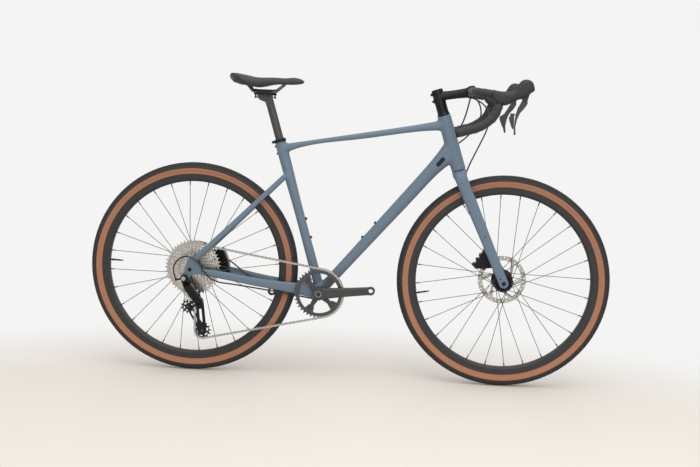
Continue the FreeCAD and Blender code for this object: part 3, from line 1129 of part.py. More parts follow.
class ChainRun:
    """Path of the chain round the ring, the cog and the two pulleys, closed to an even number of links."""

    def __init__(self):
        self.cog_y = value("small_cog_y") + value("cog_step") * value("chain_cog")
        cog_teeth = COG_TEETH[int(value("chain_cog"))]
        self.guide = REAR_AXLE + Vector(value("guide_x"), self.cog_y, value("guide_z"))
        self.teeth = [int(value("ring_teeth")), cog_teeth, int(value("guide_teeth")), int(value("tension_teeth"))]
        angle = value("cage_angle")
        self.links = 2 * round(self.length(angle) / PITCH / 2)
        low, high = angle - 40, angle + 25
        rising = self.length(high) > self.length(low)
        for _ in range(60):
            angle = (low + high) / 2
            longer = self.length(angle) > self.links * PITCH
            low, high = (low, angle) if longer == rising else (angle, high)
        self.length(angle)

    def length(self, angle):
        """Lays the path with the tension pulley at an angle from the guide pulley; gives its length."""
        lean = math.radians(angle)
        self.tension = self.guide + Vector(math.cos(lean), 0, math.sin(lean)) * value("cage_reach")
        centres = [BRACKET + SIDE * value("ring_y"), REAR_AXLE + SIDE * self.cog_y, self.guide, self.tension]
        ways = [1, 1, -1, 1]
        radii = [pitch_radius(count) for count in self.teeth]
        headings = []
        for i in range(4):
            j = (i + 1) % 4
            gap = Vector(centres[j].x - centres[i].x, centres[j].z - centres[i].z, 0)
            lift = ways[j] * radii[j] - ways[i] * radii[i]
            headings.append(math.atan2(gap.y, gap.x) - math.asin(lift / gap.Length))
        self.pieces, total = [], 0
        for i in range(4):
            turned = (ways[i] * (headings[i] - headings[i - 1])) % (2 * math.pi)
            span = turned * self.teeth[i] * PITCH / (2 * math.pi)
            self.pieces.append(("wrap", span, centres[i], radii[i], ways[i], headings[i - 1]))
            j = (i + 1) % 4
            ends = [centres[k] + Vector(math.sin(headings[i]), 0, -math.cos(headings[i])) * ways[k] * radii[k] for k in (i, j)]
            self.pieces.append(("run", (ends[1] - ends[0]).Length, ends[0], ends[1]))
            total += span + (Vector(ends[1].x - ends[0].x, 0, ends[1].z - ends[0].z)).Length
        return total

    def rollers(self):
        """Centres of every roller in order, and the seat angle of the first roller on each wheel."""
        spots, seats = [], {}
        place, used = 0.0, 0.0
        scale = sum(piece[1] for piece in self.pieces) / self.links
        for order, piece in enumerate(self.pieces):
            while place < used + piece[1] - 1e-6 and len(spots) < self.links:
                part = (place - used) / piece[1]
                if piece[0] == "run":
                    start, end = piece[2:]
                    spot = start + (end - start) * part
                    dwell = min(2.4 * PITCH / piece[1], 0.35)
                    spot.y = start.y + (end.y - start.y) * min(max((part - dwell) / (1 - 2 * dwell), 0), 1)
                    spots.append(spot)
                else:
                    _, span, centre, radius, way, heading = piece
                    teeth = self.teeth[order // 2]
                    angle = heading + way * part * span * 2 * math.pi / (teeth * PITCH)
                    spot = Vector(math.sin(angle), 0, -math.cos(angle)) * way
                    spots.append(centre + spot * radius)
                    seats.setdefault(order // 2, math.atan2(spot.z, spot.x))
                place += scale
            used += piece[1]
        return spots, seats


def link_plate(inner, outer, radius):
    """Waisted side plate of the chain with two holes, lying along x between two distances across the bike."""
    half = PITCH / 2
    reach = half - radius * 0.5
    rise = radius * 0.866
    edges = [Part.Arc(Vector(reach, inner, rise), Vector(half + radius, inner, 0), Vector(reach, inner, -rise)),
             Part.Arc(Vector(reach, inner, -rise), Vector(0, inner, -radius * 0.66), Vector(-reach, inner, -rise)),
             Part.Arc(Vector(-reach, inner, -rise), Vector(-half - radius, inner, 0), Vector(-reach, inner, rise)),
             Part.Arc(Vector(-reach, inner, rise), Vector(0, inner, radius * 0.66), Vector(reach, inner, rise))]
    wire = Part.Wire([edge.toShape() for edge in edges])
    return Part.Face(wire).extrude(SIDE * (outer - inner))


def chain_links():
    """The two kinds of link: narrow with rollers, wide with pins."""
    half = PITCH / 2
    ends = [Vector(-half, 0, 0), Vector(half, 0, 0)]
    narrow = [link_plate(1.05, 1.7, 4.0), link_plate(-1.7, -1.05, 4.0)]
    narrow += [Part.makeCylinder(value("roller_radius"), 2.1, spot - SIDE * 1.05, SIDE) for spot in ends]
    bores = [Part.makeCylinder(1.8, 4, spot - SIDE * 2, SIDE) for spot in ends]
    wide = [link_plate(1.76, 2.4, 4.1), link_plate(-2.4, -1.76, 4.1)]
    wide += [Part.makeCylinder(1.65, 4.9, spot - SIDE * 2.45, SIDE) for spot in ends]
    return narrow[0].multiFuse(narrow[1:]).cut(Part.makeCompound(bores)), wide[0].multiFuse(wide[1:])


def build_chain(run):
    spots, seats = run.rollers()
    narrow, wide = chain_links()
    pieces = []
    for i, spot in enumerate(spots):
        ahead = spots[(i + 1) % len(spots)] - spot
        link = (narrow if i % 2 == 0 else wide).copy()
        link.Placement = Placement(spot + ahead * 0.5, Rotation(ahead, SIDE, ahead.cross(SIDE), "XYZ"))
        pieces.append(link)
    node("chain", feature("chain_links", Part.makeCompound(pieces)))
    return seats


def build_cassette(run, seats):
    base = size("small_cog_y")
    inner = size("axle_radius") + 4.2
    core = revolve("cassette_core", [
        (inner, base - 1.4), (15.4, base - 1.4), (15.4, base + 2.6), (19, base + 2.6), (19, base + 40.6), (inner, base + 40.6)],
        REAR_AXLE)
    cogs = [core]
    for i, teeth in enumerate(COG_TEETH):
        y = value("small_cog_y") + value("cog_step") * i
        angle = seats[1] if i == int(value("chain_cog")) else math.pi / 2
        loops = [tooth_loop(teeth, angle), ring(15.45 if i == 0 else 19.05)]
        root = pitch_radius(teeth) - 4
        if root > 38:
            arms = 6 if root < 60 else 9
            spread = 360.0 / arms
            loops += [window(24, root - 6, k * spread + i * 9, (k + 0.62) * spread + i * 9) for k in range(arms)]
        cogs.append(plate("cog_%d" % teeth, loops, size("cog_thickness"), REAR_AXLE + SIDE * (y + value("cog_thickness") / 2)))
    node("cassette", *cogs)


def turned_about(point, angle, reach):
    """Point at a reach and angle in the side view, from straight ahead upwards."""
    return point + Vector(math.cos(angle), 0, math.sin(angle)) * reach


def build_cranks(seats):
    rest = math.radians(value("crank_angle"))
    ahead = Vector(math.cos(rest), 0, math.sin(rest))
    level = Rotation(SIDE, -value("crank_angle"))
    length, ring_y = value("crank_length"), value("ring_y")
    arms = [math.radians(value("crank_angle") + turn) for turn in (45, 125, 235, 315)]
    loop = []
    for i, angle in enumerate(arms):
        following = arms[(i + 1) % 4] + (2 * math.pi if i == 3 else 0)
        spots = [(66, angle - 0.24), (48, angle - 0.2), (48, angle + 0.2), (66, angle + 0.24)]
        flat = [Vector(r * math.cos(a), r * math.sin(a), 0) for r, a in spots]
        mid = Vector(48 * math.cos(angle), 48 * math.sin(angle), 0)
        end_a = following - 0.24
        sweep_mid = (angle + 0.24 + end_a) / 2
        loop += [Part.LineSegment(flat[0], flat[1]), Part.Arc(flat[1], mid, flat[2]), Part.LineSegment(flat[2], flat[3]),
                 Part.Arc(flat[3], Vector(66 * math.cos(sweep_mid), 66 * math.sin(sweep_mid), 0),
                          Vector(66 * math.cos(end_a), 66 * math.sin(end_a), 0))]
    holes = [ring(4.1, 55 * math.cos(angle), 55 * math.sin(angle)) for angle in arms]
    disc = plate("chainring_disc", [tooth_loop(int(value("ring_teeth")), seats[0]), loop] + holes, size("ring_thickness"),
                 BRACKET + SIDE * (ring_y + value("ring_thickness") / 2))
    inside, outside = ring_y + value("ring_thickness") / 2, ring_y - value("ring_thickness") / 2
    bolts = [revolve("ring_bolt_%d" % i, [(0, 0), (6, 0), (6, 1.6), (3.9, 1.6), (3.9, -8.2), (2.6, -8.2), (2.6, -5), (0, -5)],
                     turned_about(BRACKET, angle, 55) + SIDE * (inside + 0.05)) for i, angle in enumerate(arms)]
    node("chainring", disc, *bolts)
    spider = []
    for i, angle in enumerate(arms):
        blank = tube("spider_arm_blank_%d" % i, Vector(math.cos(angle), 0, math.sin(angle)), [
            (turned_about(BRACKET, angle, 8) + SIDE * (outside - 4.2), 8.2, 24), (turned_about(BRACKET, angle, 40) + SIDE * (outside - 3.4), 6.6, 15),
            (turned_about(BRACKET, angle, 61) + SIDE * (outside - 3.05), 6, 13)])
        hole = rod("spider_hole_%d" % i, turned_about(BRACKET, angle, 55) + SIDE * outside,
                   turned_about(BRACKET, angle, 55) + SIDE * (outside - 12), 4)
        spider.append(cut("spider_arm_%d" % i, blank, hole))
    boss, pedal = size("crank_boss_radius"), size("pedal_boss_radius")

    def arm(name, side, way, root_y, end_y):
        axis = ahead * way
        spot = BRACKET + axis * length
        beam = tube(name + "_beam", axis, [
            (BRACKET + axis * 2 + SIDE * side * root_y, 17, boss * 1.9), (BRACKET + axis * 45 + SIDE * side * (root_y + 1.5), 15, boss * 1.62),
            (BRACKET + axis * (length * 0.62) + SIDE * side * (root_y + end_y) / 2, 13, boss * 1.38), (spot + SIDE * side * end_y, 12.5, pedal * 1.9)])
        hub = rod(name + "_hub", BRACKET + SIDE * side * (root_y - 9), BRACKET + SIDE * side * (root_y + 9), boss)
        eye = rod(name + "_eye", spot + SIDE * side * (end_y - 6.25), spot + SIDE * side * (end_y + 6.25), pedal)
        hole = rod(name + "_pedal_hole", spot + SIDE * side * (end_y - 20), spot + SIDE * side * (end_y + 20), size("pedal_hole_radius"))
        return beam, hub, eye, hole

    half = value("shell_width") / 2 + 11
    beam, hub, eye, hole = arm("crank_right", -1, 1, abs(outside) + 9.6, abs(outside) + 19)
    neck = rod("crank_neck", BRACKET - SIDE * (half + 0.6), BRACKET - SIDE * (abs(outside) + 6), size("spindle_radius") + 6)
    spindle = rod("crank_spindle", BRACKET - SIDE * (abs(outside) + 20.5), BRACKET + SIDE * (half + 14), size("spindle_radius"))
    socket = rod("crank_socket", BRACKET - SIDE * (abs(outside) + 22), BRACKET - SIDE * (abs(outside) + 10), 8)
    star = fuse("spider_front", fuse("spider_back", hub, spider[0]), spider[1])
    star = fuse("spider_whole", fuse("spider_under", star, spider[2]), spider[3])
    whole = fuse("crank_right_fused", fuse("crank_right_armed", star, beam), eye, neck, spindle)
    node("crank_right", cut("crank_right_bored", whole, hole, socket))
    beam, hub, eye, hole = arm("crank_left", 1, -1, half + 10, half + 21)
    fit = rod("crank_left_fit", BRACKET + SIDE * (half - 5), BRACKET + SIDE * (half + 14.1), size("spindle_radius") + size("seat_gap"))
    node("crank_left", cut("crank_left_bored", fuse("crank_left_fused", beam, hub, eye), hole, fit))


run = ChainRun()
seat_angles = build_chain(run)
build_cassette(run, seat_angles)
build_cranks(seat_angles)


def strap(name, start, end, radius, axis, low, high):
    """Flat bar with round ends between two points, thick along an axis."""
    along = (end - start).normalize()
    across = axis.cross(along).normalize()
    base, far = start + axis * low, end + axis * low
    edges = [Part.LineSegment(base + across * radius, far + across * radius),
             Part.Arc(far + across * radius, far + along * radius, far - across * radius),
             Part.LineSegment(far - across * radius, base - across * radius),
             Part.Arc(base - across * radius, base - along * radius, base + across * radius)]
    face = Part.Face(Part.Wire([edge.toShape() for edge in edges]))
    return feature(name, face.extrude(axis * (high - low)))


def housing_end():
    """End of the derailleur housing, and the way it points there."""
    return REAR_AXLE + Vector(-44, -91, -30), Vector(7, 0, -16).normalize()


def build_derailleur(run, seats):
    bolt = REAR_AXLE + Vector(value("hanger_x"), -value("rear_spacing") / 2 - 8, value("hanger_z"))
    knuckle = REAR_AXLE + Vector(value("knuckle_x"), run.cog_y, value("knuckle_z"))
    high = bolt + Vector(11, -10, -22)
    low = knuckle + Vector(-6, -30, 17)
    link = low - high
    pin_axis = link.cross(SIDE).normalize()
    apart = pin_axis.cross(Vector(link).normalize()) * 9
    stop, stop_way = housing_end()
    body = [rod("mount_stop_arm", bolt - SIDE * 12, stop + stop_way * 4.4, 3), rod("mount_stop", stop + stop_way * 0.05, stop + stop_way * 8, 3.6),
            rod("mount_boss", bolt - SIDE * 0.2, bolt - SIDE * 19, 11), rod("mount_bolt", bolt - SIDE * 19, bolt - SIDE * 23, 7),
            rod("mount_stub", bolt + SIDE * 7.6, bolt - SIDE * 2, 4.9)]
    pivot = []
    for name, centre, root, target in (("mount", high, bolt - SIDE * 10, body), ("knuckle", low, knuckle - SIDE * 20.3, pivot)):
        for i, way in enumerate((-1, 1)):
            target.append(strap("%s_ear_%d" % (name, i), centre - apart, centre + apart, 4.6, pin_axis, way * 8.5, way * 12))
            target.append(rod("%s_web_%d" % (name, i), root, centre + pin_axis * way * 10.2, 3.4))
            target.append(rod("%s_pin_%d" % (name, i), centre + apart * way - pin_axis * 11.9, centre + apart * way + pin_axis * 11.9, 1.8))
    node("derailleur_mount", fuse("mount_fused", *body))
    for name, way in (("outer_link", -1), ("inner_link", 1)):
        start, end = high + apart * way, low + apart * way
        blank = strap(name + "_bar", start, end, 4.2, pin_axis, -8, 8)
        bores = [rod("%s_bore_%d" % (name, i), spot - pin_axis * 20, spot + pin_axis * 20, 1.8 + value("running_gap"))
                 for i, spot in enumerate((start, end))]
        node(name, cut(name + "_bored", blank, *bores))
    pivot.append(rod("knuckle_barrel", knuckle - SIDE * 8.4, knuckle - SIDE * 25.7, 13))
    pivot.append(rod("knuckle_axle", knuckle - SIDE * 9, knuckle - SIDE * 4.6, 5))
    node("p_knuckle", fuse("knuckle_fused", *pivot))
    guide, tension = run.guide, run.tension
    plates = [strap("cage_outer_long", guide, tension, 9, SIDE, -7.6, -5.4), strap("cage_outer_arm", knuckle, tension, 10, SIDE, -7.6, -5.4),
              strap("cage_outer_top", guide, knuckle, 9, SIDE, -7.6, -5.4), strap("cage_inner", guide, tension, 8, SIDE, 4.2, 5.8)]
    for name, spot in (("guide", guide), ("tension", tension)):
        plates.append(rod("cage_bolt_" + name, spot - SIDE * 7.8, spot + SIDE * 6.2, 2.6))
    hole = rod("cage_pivot_hole", knuckle - SIDE * 8, knuckle - SIDE * 2, 5 + value("running_gap"))
    node("cage", cut("cage_bored", fuse("cage_fused", *plates), hole))
    for name, spot, order in (("guide", guide, 2), ("tension", tension, 3)):
        teeth = run.teeth[order]
        loops = [tooth_loop(teeth, seats[order]), ring(6.5)]
        if teeth > 8:
            root = pitch_radius(teeth) - 7
            loops += [window(10, root, k * 60, k * 60 + 34) for k in range(6)] if root > 12 else []
        wheel = plate(name + "_toothed", loops, 1.6, spot + SIDE * 0.8)
        bush = revolve(name + "_bush", [(2.6 + value("running_gap"), -5), (5, -5), (6.5, -1.5), (6.5, 1.5), (5, 3.8), (2.6 + value("running_gap"), 3.8)], spot)
        node(name + "_pulley", fuse(name + "_fused", wheel, bush))


build_derailleur(run, seat_angles)


# Hoses and housings
def build_cables():
    hose = size("hose_radius")
    shell_low = BRACKET.z - value("shell_radius") - value("hose_radius")

    def back(x, y, z):
        return REAR_AXLE + Vector(x, y, z)

    housing = cord("derailleur_housing", [
        Vector(BRACKET.x - 24, -14, shell_low + 0.3), back(325, -30, -73), back(240, -45, -59), back(135, -61, -44),
        back(88, -70, -39), back(58, -86, -18), back(26, -90, 34), back(-18, -91, 50), back(-52, -91, 18),
        housing_end()[0] - housing_end()[1] * 17.5, housing_end()[0]], 18, hose)
    rear_hose = cord("rear_hose", [
        Vector(BRACKET.x - 24, 14, shell_low + 0.3), back(325, 30, -73), back(262, 38, -62), back(186, 38, -38), back(136, 46, 2),
        back(103, 54, 22)], 20, hose)
    node("rear_cables", housing, cut("rear_hose_fitted", rear_hose, doc.getObject("rear_caliper_body")))
    bar_low = BAR_CENTRE.z - value("tape_radius") - value("hose_radius") + 0.2
    beside = value("down_tube_width") / 2 + 0.8 + value("hose_radius") + 0.05
    port = between(BRACKET, DOWN_FRONT, 0.908, -1) + SIDE * beside
    bar_x = BAR_CENTRE.x
    node("steering_cables",
         cord("rear_hose_loop", [Vector(bar_x + 6, -62, bar_low), Vector(bar_x + 26, -44, bar_low - 12),
                                 Vector(bar_x + 38, -12, 884), Vector(bar_x + 4, 28, 828), Vector(bar_x - 50, 36, 782),
                                 port + Vector(6, 0, 9), port + Vector(-6, 0, -5)], [16, 30, 34, 40, 16], hose),
         cord("shift_loop", [Vector(bar_x - 4, -66, bar_low), Vector(bar_x - 6, -46, bar_low - 12),
                             Vector(bar_x - 16, -12, 884), Vector(bar_x - 34, 33, 838), Vector(bar_x - 66, 35, 790),
                             port + Vector(-1, 0, 13), port + Vector(-14, 0, -1)], [14, 30, 34, 40, 16], hose))
    crown = steer(value("fork_length") - 12, value("head_foot_radius") - 0.5, 17)
    front_hose = cord("front_hose", [
        Vector(bar_x + 4, 62, bar_low), Vector(bar_x + 46, 57, bar_low - 14), Vector(bar_x + 68, 46, 888),
        Vector(bar_x + 58, 30, 842), Vector(bar_x + 26, 20, 773), crown + Vector(7, 2, 22), crown], [18, 34, 60, 80, 24], hose)
    node("front_brake_hose", cut("front_hose_fitted", front_hose, doc.getObject("fork_fused")))


build_cables()


# Checks and files
doc.recompute()
faults = []
for item in doc.Objects:
    if "Invalid" in item.State or "Error" in item.State:
        faults.append("%s %s" % (item.Label, item.State))
for piece in NODES:
    if not piece.Shape.Solids or not piece.Shape.isValid():
        faults.append("%s is not a sound solid" % piece.Label)
if faults:
    raise RuntimeError("; ".join(faults))
os.makedirs("parts", exist_ok=True)
for piece in NODES:
    piece.Shape.exportStep("parts/%s.step" % piece.Label)
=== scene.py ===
"""Gravel bike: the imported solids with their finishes, and the pieces that are shaped here.

Shaped here are the skins of the frame and the fork, the front caliper's ribs, the tyres, the bar tape, the
saddle pad, the derailleur's covers and cage, the chain in its stretches, and the hoses.
"""

import logging
import math
from collections.abc import Callable, Sequence
from dataclasses import dataclass, field
from enum import Enum

import bmesh
import bpy
from mathutils import Matrix, Vector, geometry
from mathutils.bvhtree import BVHTree


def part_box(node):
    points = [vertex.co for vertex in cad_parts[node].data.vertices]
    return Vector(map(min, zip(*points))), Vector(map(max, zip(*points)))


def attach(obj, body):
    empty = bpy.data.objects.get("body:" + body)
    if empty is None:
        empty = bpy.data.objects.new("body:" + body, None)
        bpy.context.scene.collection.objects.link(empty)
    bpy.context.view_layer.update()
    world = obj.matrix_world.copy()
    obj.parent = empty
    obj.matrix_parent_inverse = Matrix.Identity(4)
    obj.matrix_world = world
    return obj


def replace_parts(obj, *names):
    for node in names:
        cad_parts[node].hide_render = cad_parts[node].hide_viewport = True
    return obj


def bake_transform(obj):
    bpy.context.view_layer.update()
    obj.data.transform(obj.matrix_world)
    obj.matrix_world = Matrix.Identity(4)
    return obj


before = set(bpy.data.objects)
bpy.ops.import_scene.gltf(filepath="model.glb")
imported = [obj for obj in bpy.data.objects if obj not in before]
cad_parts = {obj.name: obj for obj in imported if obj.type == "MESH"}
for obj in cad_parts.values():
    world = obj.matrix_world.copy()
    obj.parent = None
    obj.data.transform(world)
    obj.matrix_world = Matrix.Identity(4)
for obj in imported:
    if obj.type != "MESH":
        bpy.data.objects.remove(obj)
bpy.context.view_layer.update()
log = logging.getLogger("gravel_bike")

Colour = tuple[float, float, float]
Point = tuple[float, float, float]
Ball = tuple[Vector, float]

SHARP = math.radians(42)
SOFTEN_SHARE = 0.5
BALL_DIVISIONS = 4
CORNER_STEPS = 48
BORE_SIDES = 64
BOLT_SIDES = 32
MERGE = 1e-5
FINE_MERGE = 1e-6
CLOUD_OCTAVES = 3.0
GRAIN_OCTAVES = 4.0
BRUSH_STRETCH = (1.0, 9.0, 1.0)
THREADS_PER_PITCH = 0.3
THREAD_WOBBLE = 0.4
SIDE = Vector((0, 1, 0))
FRONT_AXLE = Vector((0.515, 0, 0.35))
REAR_AXLE = Vector((-0.515, 0, 0.35))
BRACKET = Vector((-0.088, 0, 0.287))
HEAD_FOOT = Vector((0.352908, 0, 0.709717))
STEER_UP = Vector((-0.309017, 0, 0.951057))
SEAT_UP = Vector((-0.292372, 0, 0.956305))


class Body(Enum):
    """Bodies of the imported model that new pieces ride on."""

    FRAME = "frame"
    SEAT = "seat"
    STEERING = "steering"
    FRONT_WHEEL = "front_wheel"
    REAR_WHEEL = "rear_wheel"
    OUTER_LINK = "outer_link"
    KNUCKLE = "p_knuckle"
    CAGE = "cage"


class Slot(Enum):
    """Material slots of the record that new pieces use."""

    FRAME_PAINT = "frame_paint"
    BLACK_ALLOY = "black_alloy"
    STEEL = "steel"
    TYRE = "tyre"
    GRIP_RUBBER = "grip_rubber"
    SADDLE_COVER = "saddle_cover"


class Grain(Enum):
    """Kinds of fine relief on a surface."""

    SPECKLE = "speckle"
    PEBBLE = "pebble"
    WEAVE = "weave"
    BRUSHED = "brushed"


@dataclass(frozen=True)
class Finish:
    """One surface: two close tints, its gloss, and the grain that breaks it up."""

    name: str
    tint: Colour
    shade: Colour
    roughness: float
    grain: Grain = Grain.SPECKLE
    metallic: float = 0.0
    pitch: float = 0.0015
    relief: float = 0.00005
    swing: float = 0.06
    cloud: float = 0.04
    sheen: float = 0.0
    shine: float = 0.5

    def material(self) -> bpy.types.Material:
        """Makes the material once and keeps it.

        Returns:
            The material of this finish.
        """
        found = bpy.data.materials.get(self.name)
        if found:
            return found
        made = bpy.data.materials.new(self.name)
        made.use_nodes = True
        tree = made.node_tree
        shader = tree.nodes["Principled BSDF"]
        shader.inputs["Metallic"].default_value = self.metallic
        shader.inputs["Sheen Weight"].default_value = self.sheen
        shader.inputs["Specular IOR Level"].default_value = self.shine
        place = tree.nodes.new("ShaderNodeTexCoord").outputs["Object"]
        clouds = self._noise(tree, place, 1 / self.cloud, CLOUD_OCTAVES)
        mix = tree.nodes.new("ShaderNodeMix")
        mix.data_type = "RGBA"
        mix.inputs["A"].default_value = (*self.shade, 1)
        mix.inputs["B"].default_value = (*self.tint, 1)
        tree.links.new(clouds, mix.inputs["Factor"])
        tree.links.new(mix.outputs["Result"], shader.inputs["Base Color"])
        height = self._height(tree, place)
        gloss = tree.nodes.new("ShaderNodeMapRange")
        gloss.inputs["To Min"].default_value = self.roughness - self.swing
        gloss.inputs["To Max"].default_value = self.roughness + self.swing
        tree.links.new(height, gloss.inputs["Value"])
        tree.links.new(gloss.outputs["Result"], shader.inputs["Roughness"])
        bump = tree.nodes.new("ShaderNodeBump")
        bump.inputs["Distance"].default_value = self.relief
        tree.links.new(height, bump.inputs["Height"])
        tree.links.new(bump.outputs["Normal"], shader.inputs["Normal"])
        return made

    @staticmethod
    def _noise(tree: bpy.types.NodeTree, place: bpy.types.NodeSocket, scale: float,
               detail: float) -> bpy.types.NodeSocket:
        """Adds a noise of a scale per metre.

        Args:
            tree: Nodes of the material.
            place: Socket with the coordinates.
            scale: Waves per metre.
            detail: Octaves of the noise.

        Returns:
            Socket with the noise, from 0 to 1.
        """
        node = tree.nodes.new("ShaderNodeTexNoise")
        node.inputs["Scale"].default_value = scale
        node.inputs["Detail"].default_value = detail
        tree.links.new(place, node.inputs["Vector"])
        return node.outputs["Fac"]

    def _height(self, tree: bpy.types.NodeTree, place: bpy.types.NodeSocket) -> bpy.types.NodeSocket:
        """Adds the relief of this finish's grain.

        Args:
            tree: Nodes of the material.
            place: Socket with the coordinates.

        Returns:
            Socket with the height, from 0 to 1.
        """
        if self.grain is Grain.PEBBLE:
            cells = tree.nodes.new("ShaderNodeTexVoronoi")
            cells.feature = "SMOOTH_F1"
            cells.inputs["Scale"].default_value = 1 / self.pitch
            tree.links.new(place, cells.inputs["Vector"])
            return cells.outputs["Distance"]
        if self.grain is Grain.WEAVE:
            return self._weave(tree, place)
        if self.grain is Grain.BRUSHED:
            stretch = tree.nodes.new("ShaderNodeMapping")
            stretch.inputs["Scale"].default_value = BRUSH_STRETCH
            tree.links.new(place, stretch.inputs["Vector"])
            place = stretch.outputs["Vector"]
        return self._noise(tree, place, 1 / self.pitch, GRAIN_OCTAVES)

    def _weave(self, tree: bpy.types.NodeTree, place: bpy.types.NodeSocket) -> bpy.types.NodeSocket:
        """Adds two crossed sets of threads.

        Args:
            tree: Nodes of the material.
            place: Socket with the coordinates.

        Returns:
            Socket with the height of the upper thread.
        """
        over = tree.nodes.new("ShaderNodeMath")
        over.operation = "MAXIMUM"
        for i, turned in enumerate((math.pi / 4, -math.pi / 4)):
            tilt = tree.nodes.new("ShaderNodeMapping")
            tilt.inputs["Rotation"].default_value = (0, turned, 0)
            threads = tree.nodes.new("ShaderNodeTexWave")
            threads.inputs["Scale"].default_value = THREADS_PER_PITCH / self.pitch
            threads.inputs["Distortion"].default_value = THREAD_WOBBLE
            tree.links.new(place, tilt.inputs["Vector"])
            tree.links.new(tilt.outputs["Vector"], threads.inputs["Vector"])
            tree.links.new(threads.outputs["Fac"], over.inputs[i])
        return over.outputs["Value"]


SLATE_PAINT = Finish("slate_paint", (0.127, 0.178, 0.232), (0.117, 0.167, 0.22), 0.46,
                     pitch=0.0006, relief=0.00002, swing=0.05, cloud=0.08, shine=0.38)
BLACK_ALLOY = Finish("black_alloy", (0.017, 0.017, 0.018), (0.011, 0.011, 0.012), 0.42,
                     pitch=0.0005, relief=0.00002)
BLACK_RIM = Finish("black_rim", (0.016, 0.016, 0.017), (0.011, 0.011, 0.012), 0.5,
                   pitch=0.0006, relief=0.00003)
CRANK_GREY = Finish("crank_grey", (0.062, 0.06, 0.06), (0.046, 0.045, 0.045), 0.42,
                    metallic=0.4, pitch=0.0005, relief=0.00002)
STEEL = Finish("brushed_steel", (0.5, 0.485, 0.465), (0.36, 0.35, 0.335), 0.3, Grain.BRUSHED,
               metallic=1.0, pitch=0.0012, relief=0.00003, swing=0.08)
# Cassette steel: the near-white tint and the near-black shade, mixed in 5 mm clouds, are painted glints on
# the teeth and painted shade in the gaps between the cogs.
COG_STEEL_PAINTED_GLINT_SHADE = Finish("cog_steel_painted_glint_shade", (1.0, 0.95, 0.87), (0.02, 0.02, 0.02), 0.26, Grain.BRUSHED,
                   metallic=1.0, pitch=0.0012, relief=0.00004, swing=0.1, cloud=0.005)
DARK_STEEL = Finish("dark_steel", (0.1, 0.1, 0.105), (0.07, 0.07, 0.074), 0.36, Grain.BRUSHED,
                    metallic=0.9, pitch=0.0012, relief=0.00003, swing=0.08)
TREAD_RUBBER = Finish("tread_rubber", (0.022, 0.022, 0.023), (0.015, 0.015, 0.016), 0.72,
                      pitch=0.0012, relief=0.00012)
TAN_WALL = Finish("tan_sidewall", (0.4, 0.172, 0.088), (0.35, 0.146, 0.072), 0.7, Grain.WEAVE,
                  pitch=0.0009, relief=0.00008)
HOOD_RUBBER = Finish("hood_rubber", (0.014, 0.014, 0.0145), (0.01, 0.01, 0.0105), 0.62, Grain.PEBBLE,
                     pitch=0.0022, relief=0.00018)
TAPE_COVER = Finish("tape_cover", (0.016, 0.016, 0.017), (0.011, 0.011, 0.012), 0.68, Grain.PEBBLE,
                    pitch=0.0016, relief=0.00014, sheen=0.1)
SADDLE_COVER = Finish("saddle_skin", (0.012, 0.012, 0.0125), (0.009, 0.009, 0.0095), 0.52, Grain.PEBBLE,
                      pitch=0.0011, relief=0.00007, sheen=0.05)
MOULDED = Finish("moulded_plastic", (0.02, 0.02, 0.021), (0.015, 0.015, 0.016), 0.5,
                 pitch=0.0008, relief=0.00006)
HOSE_SHEATH = Finish("hose_sheath", (0.015, 0.015, 0.016), (0.011, 0.011, 0.0115), 0.4,
                     pitch=0.001, relief=0.00003)
LEVER_GREY = Finish("lever_grey", (0.038, 0.038, 0.04), (0.028, 0.028, 0.03), 0.4,
                    metallic=0.3, pitch=0.0005, relief=0.00002)


def spot_field(x: float, y: float, z: float) -> Vector:
    """Field of a sub-assembly that holds a point of its own."""
    return field(default_factory=lambda: Vector((x, y, z)))


def mesh_of(shape: bmesh.types.BMesh, name: str) -> bpy.types.Mesh:
    """Turns a shape into mesh data.

    Args:
        shape: The shape; it is freed here.
        name: Name of the data.

    Returns:
        The mesh data.
    """
    mesh = bpy.data.meshes.new(name)
    shape.to_mesh(mesh)
    shape.free()
    return mesh


def placed(name: str, data: bpy.types.ID) -> bpy.types.Object:
    """Puts an object with some data into the scene.

    Args:
        name: Name of the object.
        data: Its mesh, curve, lamp or camera.

    Returns:
        The object.
    """
    made = bpy.data.objects.new(name, data)
    bpy.context.scene.collection.objects.link(made)
    return made


def settled(piece: bpy.types.Object) -> bpy.types.Mesh:
    """Gives the mesh that a piece has with its modifiers."""
    return bpy.data.meshes.new_from_object(piece.evaluated_get(bpy.context.evaluated_depsgraph_get()))


def dress(finish: Finish, *nodes: str) -> None:
    """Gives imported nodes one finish.

    Args:
        finish: The finish of all their faces.
        nodes: Names of the nodes.
    """
    for name in nodes:
        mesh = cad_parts[name].data
        mesh.materials.clear()
        mesh.materials.append(finish.material())
        log.info("%s has %s", name, finish.name)


def accent(node: str, finish: Finish, inside: Callable[[Vector], bool]) -> None:
    """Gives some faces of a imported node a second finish.

    Args:
        node: Name of the node.
        finish: The second finish.
        inside: Says of the middle of a face whether it gets that finish.
    """
    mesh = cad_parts[node].data
    mesh.materials.append(finish.material())
    for face in mesh.polygons:
        if inside(face.center):
            face.material_index = len(mesh.materials) - 1


def about(centre: Vector, low: float, high: float) -> Callable[[Vector], bool]:
    """Test for points between two distances from an axle that lies across the bike."""
    return lambda spot: low <= math.hypot(spot.x - centre.x, spot.z - centre.z) <= high


